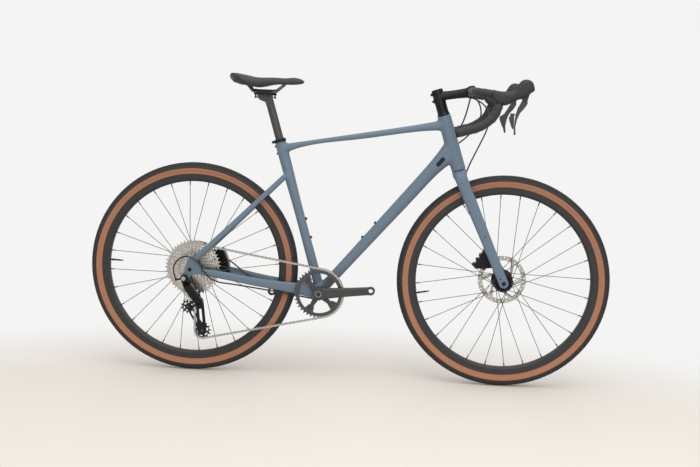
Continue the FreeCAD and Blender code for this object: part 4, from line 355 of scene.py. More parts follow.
def finished(name: str, shape: bmesh.types.BMesh, slot: Slot, body: Body | None,
             *finishes: Finish) -> bpy.types.Object:
    """Turns a shape into a piece of the bike.

    Args:
        name: Name of the piece.
        shape: Its mesh, in place; it is freed here.
        slot: The record's material slot.
        body: The body that it rides on, or None.
        finishes: Its finishes, by material index.

    Returns:
        The piece.
    """
    bmesh.ops.recalc_face_normals(shape, faces=shape.faces)
    for face in shape.faces:
        face.smooth = True
    for edge in shape.edges:
        edge.smooth = edge.calc_face_angle(0.0) < SHARP
    mesh = mesh_of(shape, name)
    for finish in finishes:
        mesh.materials.append(finish.material())
    made = placed(name, mesh)
    if body:
        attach(made, body.value)
    log.info("%s: %d faces", name, len(mesh.polygons))
    return made


def even_skin(shape: bmesh.types.BMesh, voxel: float) -> bmesh.types.BMesh:
    """Covers a shape with one even skin.

    Args:
        shape: Closed shapes that may run into each other; it is freed here.
        voxel: Size of the skin's faces.

    Returns:
        The skin, ready to be shaped.
    """
    mesh = mesh_of(shape, "bare")
    copy = placed("bare", mesh)
    even = copy.modifiers.new("even", "REMESH")
    even.mode = "VOXEL"
    even.voxel_size = voxel
    skin = settled(copy)
    covered = bmesh.new()
    covered.from_mesh(skin)
    bpy.data.objects.remove(copy)
    bpy.data.meshes.remove(mesh)
    bpy.data.meshes.remove(skin)
    return covered


def node_copy(node: str) -> bmesh.types.BMesh:
    """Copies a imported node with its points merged.

    Args:
        node: Name of the node.

    Returns:
        The copy, ready to be shaped.
    """
    shape = bmesh.new()
    shape.from_mesh(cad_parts[node].data)
    bmesh.ops.remove_doubles(shape, verts=shape.verts, dist=MERGE)
    return shape


def soften(shape: bmesh.types.BMesh, verts: Sequence[bmesh.types.BMVert], rounds: int) -> None:
    """Smooths some points of a shape, several times over."""
    for _ in range(rounds):
        bmesh.ops.smooth_vert(shape, verts=verts, factor=SOFTEN_SHARE, use_axis_x=True, use_axis_y=True,
                              use_axis_z=True)


def rounded_hull(balls: Sequence[Ball]) -> bmesh.types.BMesh:
    """Stretches a tight skin over some balls.

    Args:
        balls: Middle and radius of each ball.

    Returns:
        The skin.
    """
    shape = bmesh.new()
    for middle, radius in balls:
        bmesh.ops.create_icosphere(shape, subdivisions=BALL_DIVISIONS, radius=radius,
                                   matrix=Matrix.Translation(middle))
    bmesh.ops.delete(shape, geom=shape.edges[:], context="EDGES_FACES")
    bmesh.ops.convex_hull(shape, input=shape.verts)
    inside = [vert for vert in shape.verts if not vert.link_faces]
    bmesh.ops.delete(shape, geom=inside, context="VERTS")
    return shape


def plate(outline: Sequence[Ball], slots: Sequence[Sequence[Ball]], y: float,
          thickness: float) -> bmesh.types.BMesh:
    """Makes a flat plate that lies along the bike, with slots through it.

    Args:
        outline: Middle and radius of each round corner.
        slots: The same for each slot.
        y: Place of its inner face.
        thickness: How far it reaches from there, away from the wheel.

    Returns:
        The plate.
    """
    shape = bmesh.new()
    turns = [2 * math.pi * k / CORNER_STEPS for k in range(CORNER_STEPS)]
    for loop in (outline, *slots):
        spots = [(middle.x + radius * math.cos(turn), middle.z + radius * math.sin(turn))
                 for middle, radius in loop for turn in turns]
        ring = [shape.verts.new((spots[i][0], y, spots[i][1])) for i in geometry.convex_hull_2d(spots)]
        for pair in zip(ring, ring[1:] + ring[:1]):
            shape.edges.new(pair)
    bmesh.ops.triangle_fill(shape, use_beauty=True, edges=shape.edges, normal=SIDE)
    bmesh.ops.recalc_face_normals(shape, faces=shape.faces)
    grown = bmesh.ops.extrude_face_region(shape, geom=shape.faces[:], use_keep_orig=True)["geom"]
    outer = [item for item in grown if isinstance(item, bmesh.types.BMVert)]
    bmesh.ops.translate(shape, verts=outer, vec=-SIDE * thickness)
    return shape


@dataclass
class Studio:
    """Floor, light and the camera at the photograph's angle."""

    lens: float = 57.107
    sensor: float = 36.0
    sight: float = 100.0
    place: Point = (0.23070, -3.65903, 0.88762)
    right: Point = (0.997028, 0.066138, 0.039519)
    upward: Point = (-0.046428, 0.106405, 0.993238)
    backward: Point = (0.061486, -0.992121, 0.10916)
    floor_radius: float = 9.0
    floor_sides: int = 96
    floor_shift: float = -1.3
    fade_from: float = 1.42
    fade_to: float = 2.3
    floor_tint: Colour = (0.78, 0.725, 0.66)
    floor_roughness: float = 0.55
    sky_tint: Colour = (1.0, 1.0, 1.0)
    sky_light: float = 0.62
    sky_shown: Colour = (0.905, 0.905, 0.9)
    aim: Point = (0.0, 0.0, 0.5)
    lamps: tuple[tuple[str, Point, float, float], ...] = (
        ("high", (0.2, -0.9, 3.2), 3.4, 62.0), ("near", (0.9, -3.4, 2.0), 2.6, 34.0))

    def build(self) -> None:
        """Makes the camera, the light and the floor."""
        self._camera()
        self._light()
        self._floor()

    def _camera(self) -> None:
        """Sets the camera as solved from the photograph."""
        data = bpy.data.cameras.new("camera")
        data.lens = self.lens
        data.sensor_width = self.sensor
        data.clip_end = self.sight
        camera = placed("camera", data)
        turn = Matrix((self.right, self.upward, self.backward)).transposed()
        camera.matrix_world = Matrix.Translation(self.place) @ turn.to_4x4()
        bpy.context.scene.camera = camera

    def _light(self) -> None:
        """Lights the bike evenly, a little more from above and from the side that shows."""
        scene = bpy.context.scene
        scene.view_settings.view_transform = "Standard"
        world = bpy.data.worlds.new("studio")
        world.use_nodes = True
        tree = world.node_tree
        lit = tree.nodes["Background"]
        lit.inputs["Color"].default_value = (*self.sky_tint, 1)
        lit.inputs["Strength"].default_value = self.sky_light
        shown = tree.nodes.new("ShaderNodeBackground")
        shown.inputs["Color"].default_value = (*self.sky_shown, 1)
        rays = tree.nodes.new("ShaderNodeLightPath")
        mix = tree.nodes.new("ShaderNodeMixShader")
        seen = self._seen(tree, rays)
        tree.links.new(seen, mix.inputs["Fac"])
        tree.links.new(lit.outputs["Background"], mix.inputs[1])
        tree.links.new(shown.outputs["Background"], mix.inputs[2])
        tree.links.new(mix.outputs["Shader"], tree.nodes["World Output"].inputs["Surface"])
        scene.world = world
        for name, spot, size, power in self.lamps:
            data = bpy.data.lights.new(name, "AREA")
            data.size = size
            data.energy = power
            lamp = placed(name, data)
            lamp.location = spot
            lamp.rotation_euler = (Vector(self.aim) - Vector(spot)).to_track_quat("-Z", "Y").to_euler()

    @staticmethod
    def _seen(tree: bpy.types.NodeTree, rays: bpy.types.Node) -> bpy.types.NodeSocket:
        """Adds up the rays that see the background.

        Args:
            tree: Nodes of the world.
            rays: Its light path node.

        Returns:
            Socket that is 1 for the camera and for reflections.
        """
        total = rays.outputs["Is Camera Ray"]
        for kind in ("Is Glossy Ray", "Is Transmission Ray"):
            either = tree.nodes.new("ShaderNodeMath")
            either.operation = "MAXIMUM"
            tree.links.new(total, either.inputs[0])
            tree.links.new(rays.outputs[kind], either.inputs[1])
            total = either.outputs["Value"]
        return total

    def _floor(self) -> None:
        """Makes a pale round floor that fades into the background."""
        shape = bmesh.new()
        bmesh.ops.create_circle(shape, cap_ends=True, segments=self.floor_sides, radius=self.floor_radius)
        mesh = mesh_of(shape, "floor")
        made = bpy.data.materials.new("pale_floor")
        made.use_nodes = True
        tree = made.node_tree
        shader = tree.nodes["Principled BSDF"]
        shader.inputs["Base Color"].default_value = (*self.floor_tint, 1)
        shader.inputs["Roughness"].default_value = self.floor_roughness
        place = tree.nodes.new("ShaderNodeTexCoord")
        reach = tree.nodes.new("ShaderNodeVectorMath")
        reach.operation = "LENGTH"
        fade = tree.nodes.new("ShaderNodeMapRange")
        fade.interpolation_type = "SMOOTHSTEP"
        fade.inputs["From Min"].default_value = self.fade_from
        fade.inputs["From Max"].default_value = self.fade_to
        clear = tree.nodes.new("ShaderNodeBsdfTransparent")
        mix = tree.nodes.new("ShaderNodeMixShader")
        tree.links.new(place.outputs["Object"], reach.inputs[0])
        tree.links.new(reach.outputs["Value"], fade.inputs["Value"])
        tree.links.new(fade.outputs["Result"], mix.inputs["Fac"])
        tree.links.new(shader.outputs["BSDF"], mix.inputs[1])
        tree.links.new(clear.outputs["BSDF"], mix.inputs[2])
        tree.links.new(mix.outputs["Shader"], tree.nodes["Material Output"].inputs["Surface"])
        mesh.materials.append(made)
        floor = placed("floor", mesh)
        floor.location = (0, self.floor_shift, 0)


@dataclass
class Hose:
    """Hose or housing along the route of its solid."""

    name: str
    node: str
    route: tuple[Point, ...]
    length: float
    body: Body | None = Body.FRAME
    diameter: float = 0.005
    line_steps: int = 16
    round_steps: int = 4
    order: int = 3

    def build(self) -> bpy.types.Object:
        """Returns:
            The hose.
        """
        if self.body:
            made = self._line(self.diameter / 2)
            made.data.materials.append(HOSE_SHEATH.material())
            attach(made, self.body.value)
        else:
            line = self._line(0.0)
            path = [spot.co.copy() for spot in bpy.data.meshes.new_from_object(line).vertices]
            bpy.data.objects.remove(line)
            made = self._blended()
        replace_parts(made, self.node)
        log.info("%s: %.3f m", self.name, self.length)
        return made

    def _line(self, thick: float) -> bpy.types.Object:
        """Makes the smooth line of the route.

        Args:
            thick: Radius of the tube round it, or 0.

        Returns:
            The curve.
        """
        data = bpy.data.curves.new(self.name, "CURVE")
        data.dimensions = "3D"
        data.resolution_u = self.line_steps
        data.bevel_depth = thick
        data.bevel_resolution = self.round_steps
        data.use_fill_caps = True
        spline = data.splines.new("NURBS")
        spline.points.add(len(self.route) - 1)
        for point, spot in zip(spline.points, self.route):
            point.co = (*spot, 1)
        spline.order_u = self.order
        spline.use_endpoint_u = True
        made = placed(self.name, data)
        bpy.context.view_layer.update()
        return made

    def _blended(self) -> bpy.types.Object:
        """Makes the tube between the bar and the frame, which rides on no body.

        Returns:
            The tube.
        """
        curve = self._line(self.diameter / 2)
        shape = bmesh.new()
        mesh = bpy.data.meshes.new_from_object(curve)
        shape.from_mesh(mesh)
        bpy.data.objects.remove(curve)
        bmesh.ops.remove_doubles(shape, verts=shape.verts, dist=FINE_MERGE)
        made = finished(self.name + "_tube", shape, Slot.GRIP_RUBBER, None, HOSE_SHEATH)
        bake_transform(made)
        return made


@dataclass
class Tyre:
    """Tyre with a knobbly black tread and tan sidewalls."""

    name: str
    node: str
    body: Body
    centre: Vector
    radius: float = 0.350
    section_radius: float = 0.01949
    knob: float = 0.0016
    knob_inset: float = 0.0006
    knob_lean: float = 12.0
    wall_dip: float = 0.0004
    steps: int = 220
    tread_edge: float = 66.0
    black_edge: float = 91.0
    edge_margin: float = 1.0
    bead: tuple[tuple[float, float], ...] = ((0.3122, 0.0143), (0.3134, 0.0147), (0.3164, 0.0147))
    wall_leans: tuple[float, ...] = (126, 121, 116, 108, 100)
    tread_leans: tuple[float, ...] = (90, 84, 75, 66, 54, 42, 30, 18, 6)

    def build(self) -> bpy.types.Object:
        """Spins the section, raises the knobs and colours the sidewalls.

        Returns:
            The tyre.
        """
        shape = bmesh.new()
        verts = [shape.verts.new(self._spot(r, y)) for r, y in self._section()]
        edges = [shape.edges.new(pair) for pair in zip(verts, verts[1:] + verts[:1])]
        bmesh.ops.spin(shape, geom=verts + edges, cent=self.centre, axis=SIDE, angle=2 * math.pi,
                       steps=self.steps, use_merge=True)
        bmesh.ops.remove_doubles(shape, verts=shape.verts, dist=FINE_MERGE)
        bmesh.ops.recalc_face_normals(shape, faces=shape.faces)
        knobs = []
        for face in shape.faces:
            lean, turned = self._angles(face.calc_center_median())
            face.material_index = 1 if abs(lean) > self.black_edge - self.edge_margin else 0
            row, column = round(lean / self.knob_lean), math.floor(turned / 360 * self.steps)
            if abs(lean) < self.tread_edge and (row + column) % 2 == 0:
                knobs.append(face)
        bmesh.ops.inset_individual(shape, faces=knobs, thickness=self.knob_inset, depth=self.knob,
                                   use_even_offset=True)
        made = finished(self.name, shape, Slot.TYRE, self.body, TREAD_RUBBER, TAN_WALL)
        for face in made.data.polygons:
            face.use_smooth = abs(self._angles(face.center)[0]) > self.tread_edge
        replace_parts(made, self.node)
        return made

    def _section(self) -> list[tuple[float, float]]:
        """Works out the section, from one rim edge over the tread to the other.

        Returns:
            Pairs of radius and distance from the middle.
        """
        side = list(self.bead)
        for lean in (*self.wall_leans, self.black_edge, *self.tread_leans):
            low = self.wall_dip if lean >= self.black_edge else 0.0
            if lean <= self.tread_edge - self.edge_margin:
                low = self.knob
            angle = math.radians(lean)
            reach = self.section_radius - low
            height = self.radius - self.section_radius + reach * math.cos(angle)
            side.append((height, reach * math.sin(angle)))
        return side + [(r, -y) for r, y in reversed(side)]

    def _spot(self, r: float, y: float) -> Vector:
        """Point of the section above the axle."""
        return self.centre + Vector((0, y, r))

    def _angles(self, spot: Vector) -> tuple[float, float]:
        """Works out where a point lies on the tyre.

        Args:
            spot: The point.

        Returns:
            Angle round the section and angle round the wheel, in degrees.
        """
        away = spot - self.centre
        reach = math.hypot(away.x, away.z) - (self.radius - self.section_radius)
        return math.degrees(math.atan2(away.y, reach)), math.degrees(math.atan2(away.z, away.x)) % 360


@dataclass
class BarTape:
    """Tape wound along one stretch of the bar."""

    name: str
    route: tuple[Point, ...]
    bends: tuple[float, ...]
    radius: float = 0.0129
    lap: float = 0.0011
    wind: float = 0.021
    step: float = 0.0022
    sides: int = 40
    tuck: float = 0.0006
    tucked_rings: int = 2
    lap_climb: float = 1.15
    lap_fall: float = 9.0
    bend_segments: int = 12

    def build(self) -> bpy.types.Object:
        """Draws a ring along the stretch, with the step of the overlapping tape.

        Returns:
            The tape.
        """
        path = self._even(self._rounded())
        shape = bmesh.new()
        ring = bmesh.ops.create_circle(shape, cap_ends=False, segments=self.sides, radius=1.0)["verts"]
        first = list(ring)
        across = None
        for i, spot in enumerate(path):
            ahead = (path[min(i + 1, len(path) - 1)] - path[max(i - 1, 0)]).normalized()
            across = across - ahead * across.dot(ahead) if across else ahead.orthogonal()
            across.normalize()
            tucked = min(i, len(path) - 1 - i) < self.tucked_rings
            if i:
                ring = self._next_ring(shape, ring)
            for k, vert in enumerate(ring):
                angle = 2 * math.pi * k / self.sides
                phase = (i * self.step / self.wind - k / self.sides) % 1.0
                rise = self.lap * min(phase * self.lap_climb, 1.0, (1 - phase) * self.lap_fall)
                reach = self.radius - self.tuck if tucked else self.radius + rise
                vert.co = spot + (across * math.cos(angle) + ahead.cross(across) * math.sin(angle)) * reach
        for loop in (first, ring):
            bmesh.ops.edgeloop_fill(shape, edges=self._ring_edges(loop))
        return finished(self.name, shape, Slot.GRIP_RUBBER, Body.STEERING, TAPE_COVER)

    @staticmethod
    def _ring_edges(ring: list[bmesh.types.BMVert]) -> list[bmesh.types.BMEdge]:
        """Lists the edges between the points of a ring.

        Args:
            ring: Points of the ring.

        Returns:
            Its edges, each once.
        """
        own = set(ring)
        return list({edge for vert in ring for edge in vert.link_edges if own.issuperset(edge.verts)})

    def _next_ring(self, shape: bmesh.types.BMesh,
                   ring: list[bmesh.types.BMVert]) -> list[bmesh.types.BMVert]:
        """Extrudes a ring by one step.

        Args:
            shape: The mesh.
            ring: Points of the last ring, in order.

        Returns:
            Points of the new ring, in the same order.
        """
        old = set(ring)
        geom = bmesh.ops.extrude_edge_only(shape, edges=self._ring_edges(ring))["geom"]
        new = {item for item in geom if isinstance(item, bmesh.types.BMVert)}
        follow = {}
        for vert in new:
            for edge in vert.link_edges:
                if edge.other_vert(vert) in old:
                    follow[edge.other_vert(vert)] = vert
        return [follow[vert] for vert in ring]

    def _rounded(self) -> list[Vector]:
        """Gives the line of the bar with its bends rounded.

        Returns:
            Points from one end to the other.
        """
        wire = bmesh.new()
        verts = [wire.verts.new(spot) for spot in self.route]
        for pair in zip(verts, verts[1:]):
            wire.edges.new(pair)
        start = verts[0]
        reaches = []
        for i, bend in enumerate(self.bends, 1):
            one, two = verts[i - 1].co - verts[i].co, verts[i + 1].co - verts[i].co
            reaches.append(bend / math.tan(one.angle(two) / 2))
        for vert, reach in zip(verts[1:-1], reaches):
            bmesh.ops.bevel(wire, geom=[vert], offset=reach, offset_type="OFFSET",
                            segments=self.bend_segments, profile=0.5, affect="VERTICES",
                            clamp_overlap=False, material=-1)
        line, last = [start], None
        while True:
            beside = [edge.other_vert(line[-1]) for edge in line[-1].link_edges]
            onward = [vert for vert in beside if vert is not last]
            if not onward:
                break
            last = line[-1]
            line.append(onward[0])
        points = [vert.co.copy() for vert in line]
        wire.free()
        return points

    def _even(self, line: list[Vector]) -> list[Vector]:
        """Divides a line into steps of one length.

        Args:
            line: Points from one end to the other.

        Returns:
            Points at even steps along it.
        """
        spots, left = [line[0]], self.step
        for one, two in zip(line, line[1:]):
            run = (two - one).length
            while left <= run:
                spots.append(one.lerp(two, left / run))
                left += self.step
            left -= run
        return spots + [line[-1]]


@dataclass
class Cockpit:
    """Stem, bar, tape, lever bodies and levers."""

    centre: Point = (0.3812, 0.0, 0.965)
    corner: Point = (0.3852, -0.207, 0.963)
    hook: Point = (0.4692, -0.21, 0.954)
    turn: Point = (0.4452, -0.2234, 0.886)
    flat: Point = (0.4022, -0.2324, 0.8535)
    end: Point = (0.3322, -0.242, 0.8335)
    corner_bend: float = 0.038
    drop_bends: tuple[float, float] = (0.062, 0.1)
    taped_from: float = 0.046
    hood_from: float = 0.6
    hood_to: float = 0.42
    lever_pin: Vector = spot_field(0.536248, 0, 0.943451)
    lever_eye: float = 0.0055

    def build(self) -> None:
        """Winds the tape on both sides and gives the rest its finishes."""
        corner, hook, turn = Vector(self.corner), Vector(self.hook), Vector(self.turn)
        start = Vector(self.centre) - SIDE * self.taped_from
        upper = (start, corner, corner.lerp(hook, self.hood_from))
        lower = (hook.lerp(turn, self.hood_to), turn, Vector(self.flat), Vector(self.end))
        stretches = (("upper", upper, (self.corner_bend,)), ("lower", lower, self.drop_bends))
        for side, way in (("right", 1), ("left", -1)):
            for name, route, bends in stretches:
                mirrored = tuple((spot.x, spot.y * way, spot.z) for spot in route)
                tape = BarTape("tape_%s_%s" % (name, side), mirrored, bends).build()
                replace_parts(tape, "bar_tape")
        dress(BLACK_ALLOY, "stem", "stem_faceplate", "stem_hardware", "handlebar")
        dress(HOOD_RUBBER, "lever_bodies")
        dress(LEVER_GREY, "brake_lever_left", "brake_lever_right", "shift_lever")
        for lever in ("brake_lever_left", "brake_lever_right"):
            accent(lever, STEEL, about(self.lever_pin, 0.0, self.lever_eye))


@dataclass
class FrameSet:
    """Painted frame and fork with their fittings."""

    hollow: tuple[str, ...] = ("head_tube", "top_tube", "down_tube", "seat_tube", "bottom_bracket_shell")
    solid: tuple[str, ...] = ("chainstays", "seatstays")
    voxel: float = 0.0024
    sink: float = 0.003
    joint_reach: float = 0.008
    joint_rounds: int = 22
    settle_rounds: int = 2
    head_bore: float = 0.0192
    head_reach: tuple[float, float] = (-0.03, 0.22)
    seat_bore: float = 0.0137
    seat_reach: tuple[float, float] = (0.06, 0.56)
    bracket_bore: float = 0.0182
    bracket_reach: float = 0.05
    touch: float = 3e-4
    lift: float = 1e-4
    crown: tuple[float, float] = (-0.09, -0.008)
    crown_rounds: int = 30
    eyes: tuple[Point, ...] = ((-0.068, 0.0568, 0.1508), (-0.012, 0.0637, 0.015))
    eye_radius: float = 0.0026
    eye_ends: tuple[float, float] = (0.01, -0.0125)
    ribs: tuple[tuple[float, float, float], ...] = (
        (-0.060, 0.093, 0.0075), (-0.0735, 0.078, 0.0065), (-0.085, 0.064, 0.0055), (-0.095, 0.046, 0.0065))
    rib_ends: tuple[float, float] = (0.037, 0.055)

    def build(self) -> None:
        """Makes the welded frame, the fork and the caliper's ribs, and finishes the fittings."""
        self._welded()
        self._fork()
        for i, (x, z, radius) in enumerate(self.ribs):
            rib = rounded_hull([(FRONT_AXLE + Vector((x, y, z)), radius) for y in self.rib_ends])
            finished("caliper_rib_%d" % i, rib, Slot.BLACK_ALLOY, Body.STEERING, LEVER_GREY)
        dress(SLATE_PAINT, "dropouts")
        dress(BLACK_ALLOY, "headset_bearings", "bottom_bracket_cups", "seat_collar", "frame_fittings",
              "rear_axle", "front_axle", "rear_caliper", "front_caliper")
        dress(DARK_STEEL, "front_outer_pad", "front_inner_pad", "rear_outer_pad", "rear_inner_pad")

    def _welded(self) -> None:
        """Joins the tubes in one skin whose junctions are smooth."""
        trees = {name: self._tree(name) for name in self.hollow + self.solid}
        joined = bmesh.new()
        for name in trees:
            plugged = self._plugged(name, trees)
            joined.from_mesh(plugged)
            bpy.data.meshes.remove(plugged)
        shape = even_skin(joined, self.voxel)
        near = [vert for vert in shape.verts if sum(
            tree.find_nearest(vert.co, self.joint_reach)[0] is not None for tree in trees.values()) > 1]
        soften(shape, shape.verts, self.settle_rounds)
        soften(shape, near, self.joint_rounds)
        skin = finished("welded_frame", shape, Slot.FRAME_PAINT, Body.FRAME, SLATE_PAINT)
        head = [HEAD_FOOT + STEER_UP * reach for reach in self.head_reach]
        seat = [BRACKET + SEAT_UP * reach for reach in self.seat_reach]
        bracket = [BRACKET + SIDE * reach for reach in (-self.bracket_reach, self.bracket_reach)]
        self._bore(skin, "head_bore", *head, self.head_bore)
        self._bore(skin, "seat_bore", *seat, self.seat_bore)
        self._bore(skin, "bracket_bore", *bracket, self.bracket_bore)
        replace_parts(skin, *trees)

    def _fork(self) -> None:
        """Rounds the fork where its legs leave the crown, and opens its carrier eyes."""
        shape = even_skin(node_copy("fork"), self.voxel)
        low, high = self.crown
        crown = [vert for vert in shape.verts if low < (vert.co - HEAD_FOOT).dot(STEER_UP) < high]
        soften(shape, shape.verts, self.settle_rounds)
        soften(shape, crown, self.crown_rounds)
        skin = finished("welded_fork", shape, Slot.FRAME_PAINT, Body.STEERING, SLATE_PAINT)
        for x, y, z in self.eyes:
            for way in (-1, 1):
                ends = [FRONT_AXLE + Vector((x, way * (y + reach), z)) for reach in self.eye_ends]
                self._bore(skin, "eye", *ends, self.eye_radius)
        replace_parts(skin, "fork")

    @staticmethod
    def _tree(name: str) -> BVHTree:
        """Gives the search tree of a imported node's faces."""
        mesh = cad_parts[name].data
        return BVHTree.FromPolygons([vert.co for vert in mesh.vertices],
                                    [face.vertices for face in mesh.polygons])

    def _plugged(self, name: str, trees: dict[str, BVHTree]) -> bpy.types.Mesh:
        """Copies a tube without its inside, closed, and sunk a little into its neighbours.

        Args:
            name: Name of the node.
            trees: Search trees of all the tubes.

        Returns:
            The closed copy.
        """
        shape = node_copy(name)
        if name in self.hollow:
            inner = [face for face in shape.faces if trees[name].ray_cast(
                face.calc_center_median() + face.normal * self.lift, face.normal)[0] is not None]
            bmesh.ops.delete(shape, geom=inner, context="FACES")
            bmesh.ops.holes_fill(shape, edges=[edge for edge in shape.edges if edge.is_boundary], sides=0)
        neighbours = [tree for other, tree in trees.items() if other != name]
        for vert in shape.verts:
            for tree in neighbours:
                spot, normal, _, _ = tree.find_nearest(vert.co, self.touch)
                if spot:
                    vert.co = vert.co - normal * self.sink
        bmesh.ops.triangulate(shape, faces=[face for face in shape.faces if len(face.verts) > 4])
        return mesh_of(shape, name + "_plugged")

    @staticmethod
    def _bore(skin: bpy.types.Object, name: str, start: Vector, end: Vector, radius: float) -> None:
        """Cuts a round hole through the skin.

        Args:
            skin: The piece that is cut.
            name: Name of the hole.
            start: One end of its axis.
            end: The other end.
            radius: Its radius.
        """
        tool = bmesh.new()
        way = end - start
        place = Matrix.Translation((start + end) / 2) @ way.to_track_quat("Z", "Y").to_matrix().to_4x4()
        bmesh.ops.create_cone(tool, cap_ends=True, segments=BORE_SIDES, radius1=radius, radius2=radius,
                              depth=way.length, matrix=place)
        cutter = placed(name, mesh_of(tool, name))
        cut = skin.modifiers.new(name, "BOOLEAN")
        cut.operation = "DIFFERENCE"
        cut.object = cutter
        bored = settled(skin)
        skin.modifiers.clear()
        skin.data = bored
        bpy.data.objects.remove(cutter)


@dataclass
class Wheels:
    """Tyres, rims, spokes, hubs and rotors."""

    carrier_radius: float = 0.0335

    def build(self) -> None:
        """Makes both tyres and gives the rest its finishes."""
        Tyre("front_tyre_skin", "front_tyre", Body.FRONT_WHEEL, FRONT_AXLE).build()
        Tyre("rear_tyre_skin", "rear_tyre", Body.REAR_WHEEL, REAR_AXLE).build()
        dress(BLACK_RIM, "front_rim", "rear_rim")
        dress(BLACK_ALLOY, "front_hub", "rear_hub")
        dress(DARK_STEEL, "front_spokes", "rear_spokes")
        dress(STEEL, "front_rotor", "rear_rotor")
        for node, centre in (("front_rotor", FRONT_AXLE), ("rear_rotor", REAR_AXLE)):
            accent(node, BLACK_ALLOY, about(centre, 0.0, self.carrier_radius))


@dataclass
class Seat:
    """Seatpost, clamp, rails and the padded saddle."""

    voxel: float = 0.0028
    channel_depth: float = 0.0032
    channel_width: float = 0.009
    channel_from: float = -0.385
    channel_to: float = -0.215
    channel_ease: float = 0.6
    top_slope: float = 0.3
    top_depth: float = 0.006
    pad_rounds: int = 6
    tail: tuple[tuple[Point, float], ...] = (
        ((-0.3985, 0.02, 0.984), 0.0095), ((-0.385, 0.047, 0.9765), 0.0105), ((-0.36, 0.056, 0.969), 0.0105))
    crown_from: float = -0.325
    crown_to: float = -0.185
    crown_rise: float = 0.0028

    def build(self) -> None:
        """Makes the pad and gives the rest its finishes."""
        self._pad()
        dress(MOULDED, "saddle_shell")
        dress(CRANK_GREY, "seatpost")
        dress(BLACK_ALLOY, "seat_clamp")
        dress(DARK_STEEL, "saddle_rails")

    def _pad(self) -> None:
        """Makes the cover with a full tail, a straight top and a shallow channel along its middle."""
        shape = node_copy("saddle_cover")
        for roll in self._rolls():
            mesh = mesh_of(roll, "roll")
            shape.from_mesh(mesh)
            bpy.data.meshes.remove(mesh)
        shape = even_skin(shape, self.voxel)
        soften(shape, shape.verts, self.pad_rounds)
        low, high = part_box("saddle_cover")
        top = (low.z + high.z) / 2 - self.top_depth
        for vert in shape.verts:
            along = (vert.co.x - self.crown_from) / (self.crown_to - self.crown_from)
            if vert.normal.z > 0 and 0 < along < 1:
                vert.co.z += self.crown_rise * vert.normal.z * math.sin(math.pi * along)
            part = (vert.co.x - self.channel_from) / (self.channel_to - self.channel_from)
            if vert.normal.z > self.top_slope and vert.co.z > top and 0 < part < 1:
                fall = math.exp(-(vert.co.y / self.channel_width) ** 2)
                fall *= math.sin(math.pi * part) ** self.channel_ease
                vert.co.z -= self.channel_depth * fall
        pad = finished("saddle_pad", shape, Slot.SADDLE_COVER, Body.SEAT, SADDLE_COVER)
        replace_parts(pad, "saddle_cover")

    def _rolls(self) -> list[bmesh.types.BMesh]:
        """Makes the rolls that fill out the tail and the wing on each side.

        Returns:
            The rolls, which run into each other.
        """
        right, left = ([(Vector((x, y * way, z)), reach) for (x, y, z), reach in self.tail]
                       for way in (-1, 1))
        return [rounded_hull(balls) for balls in (right[:2] + left[:2], right[1:], left[1:])]


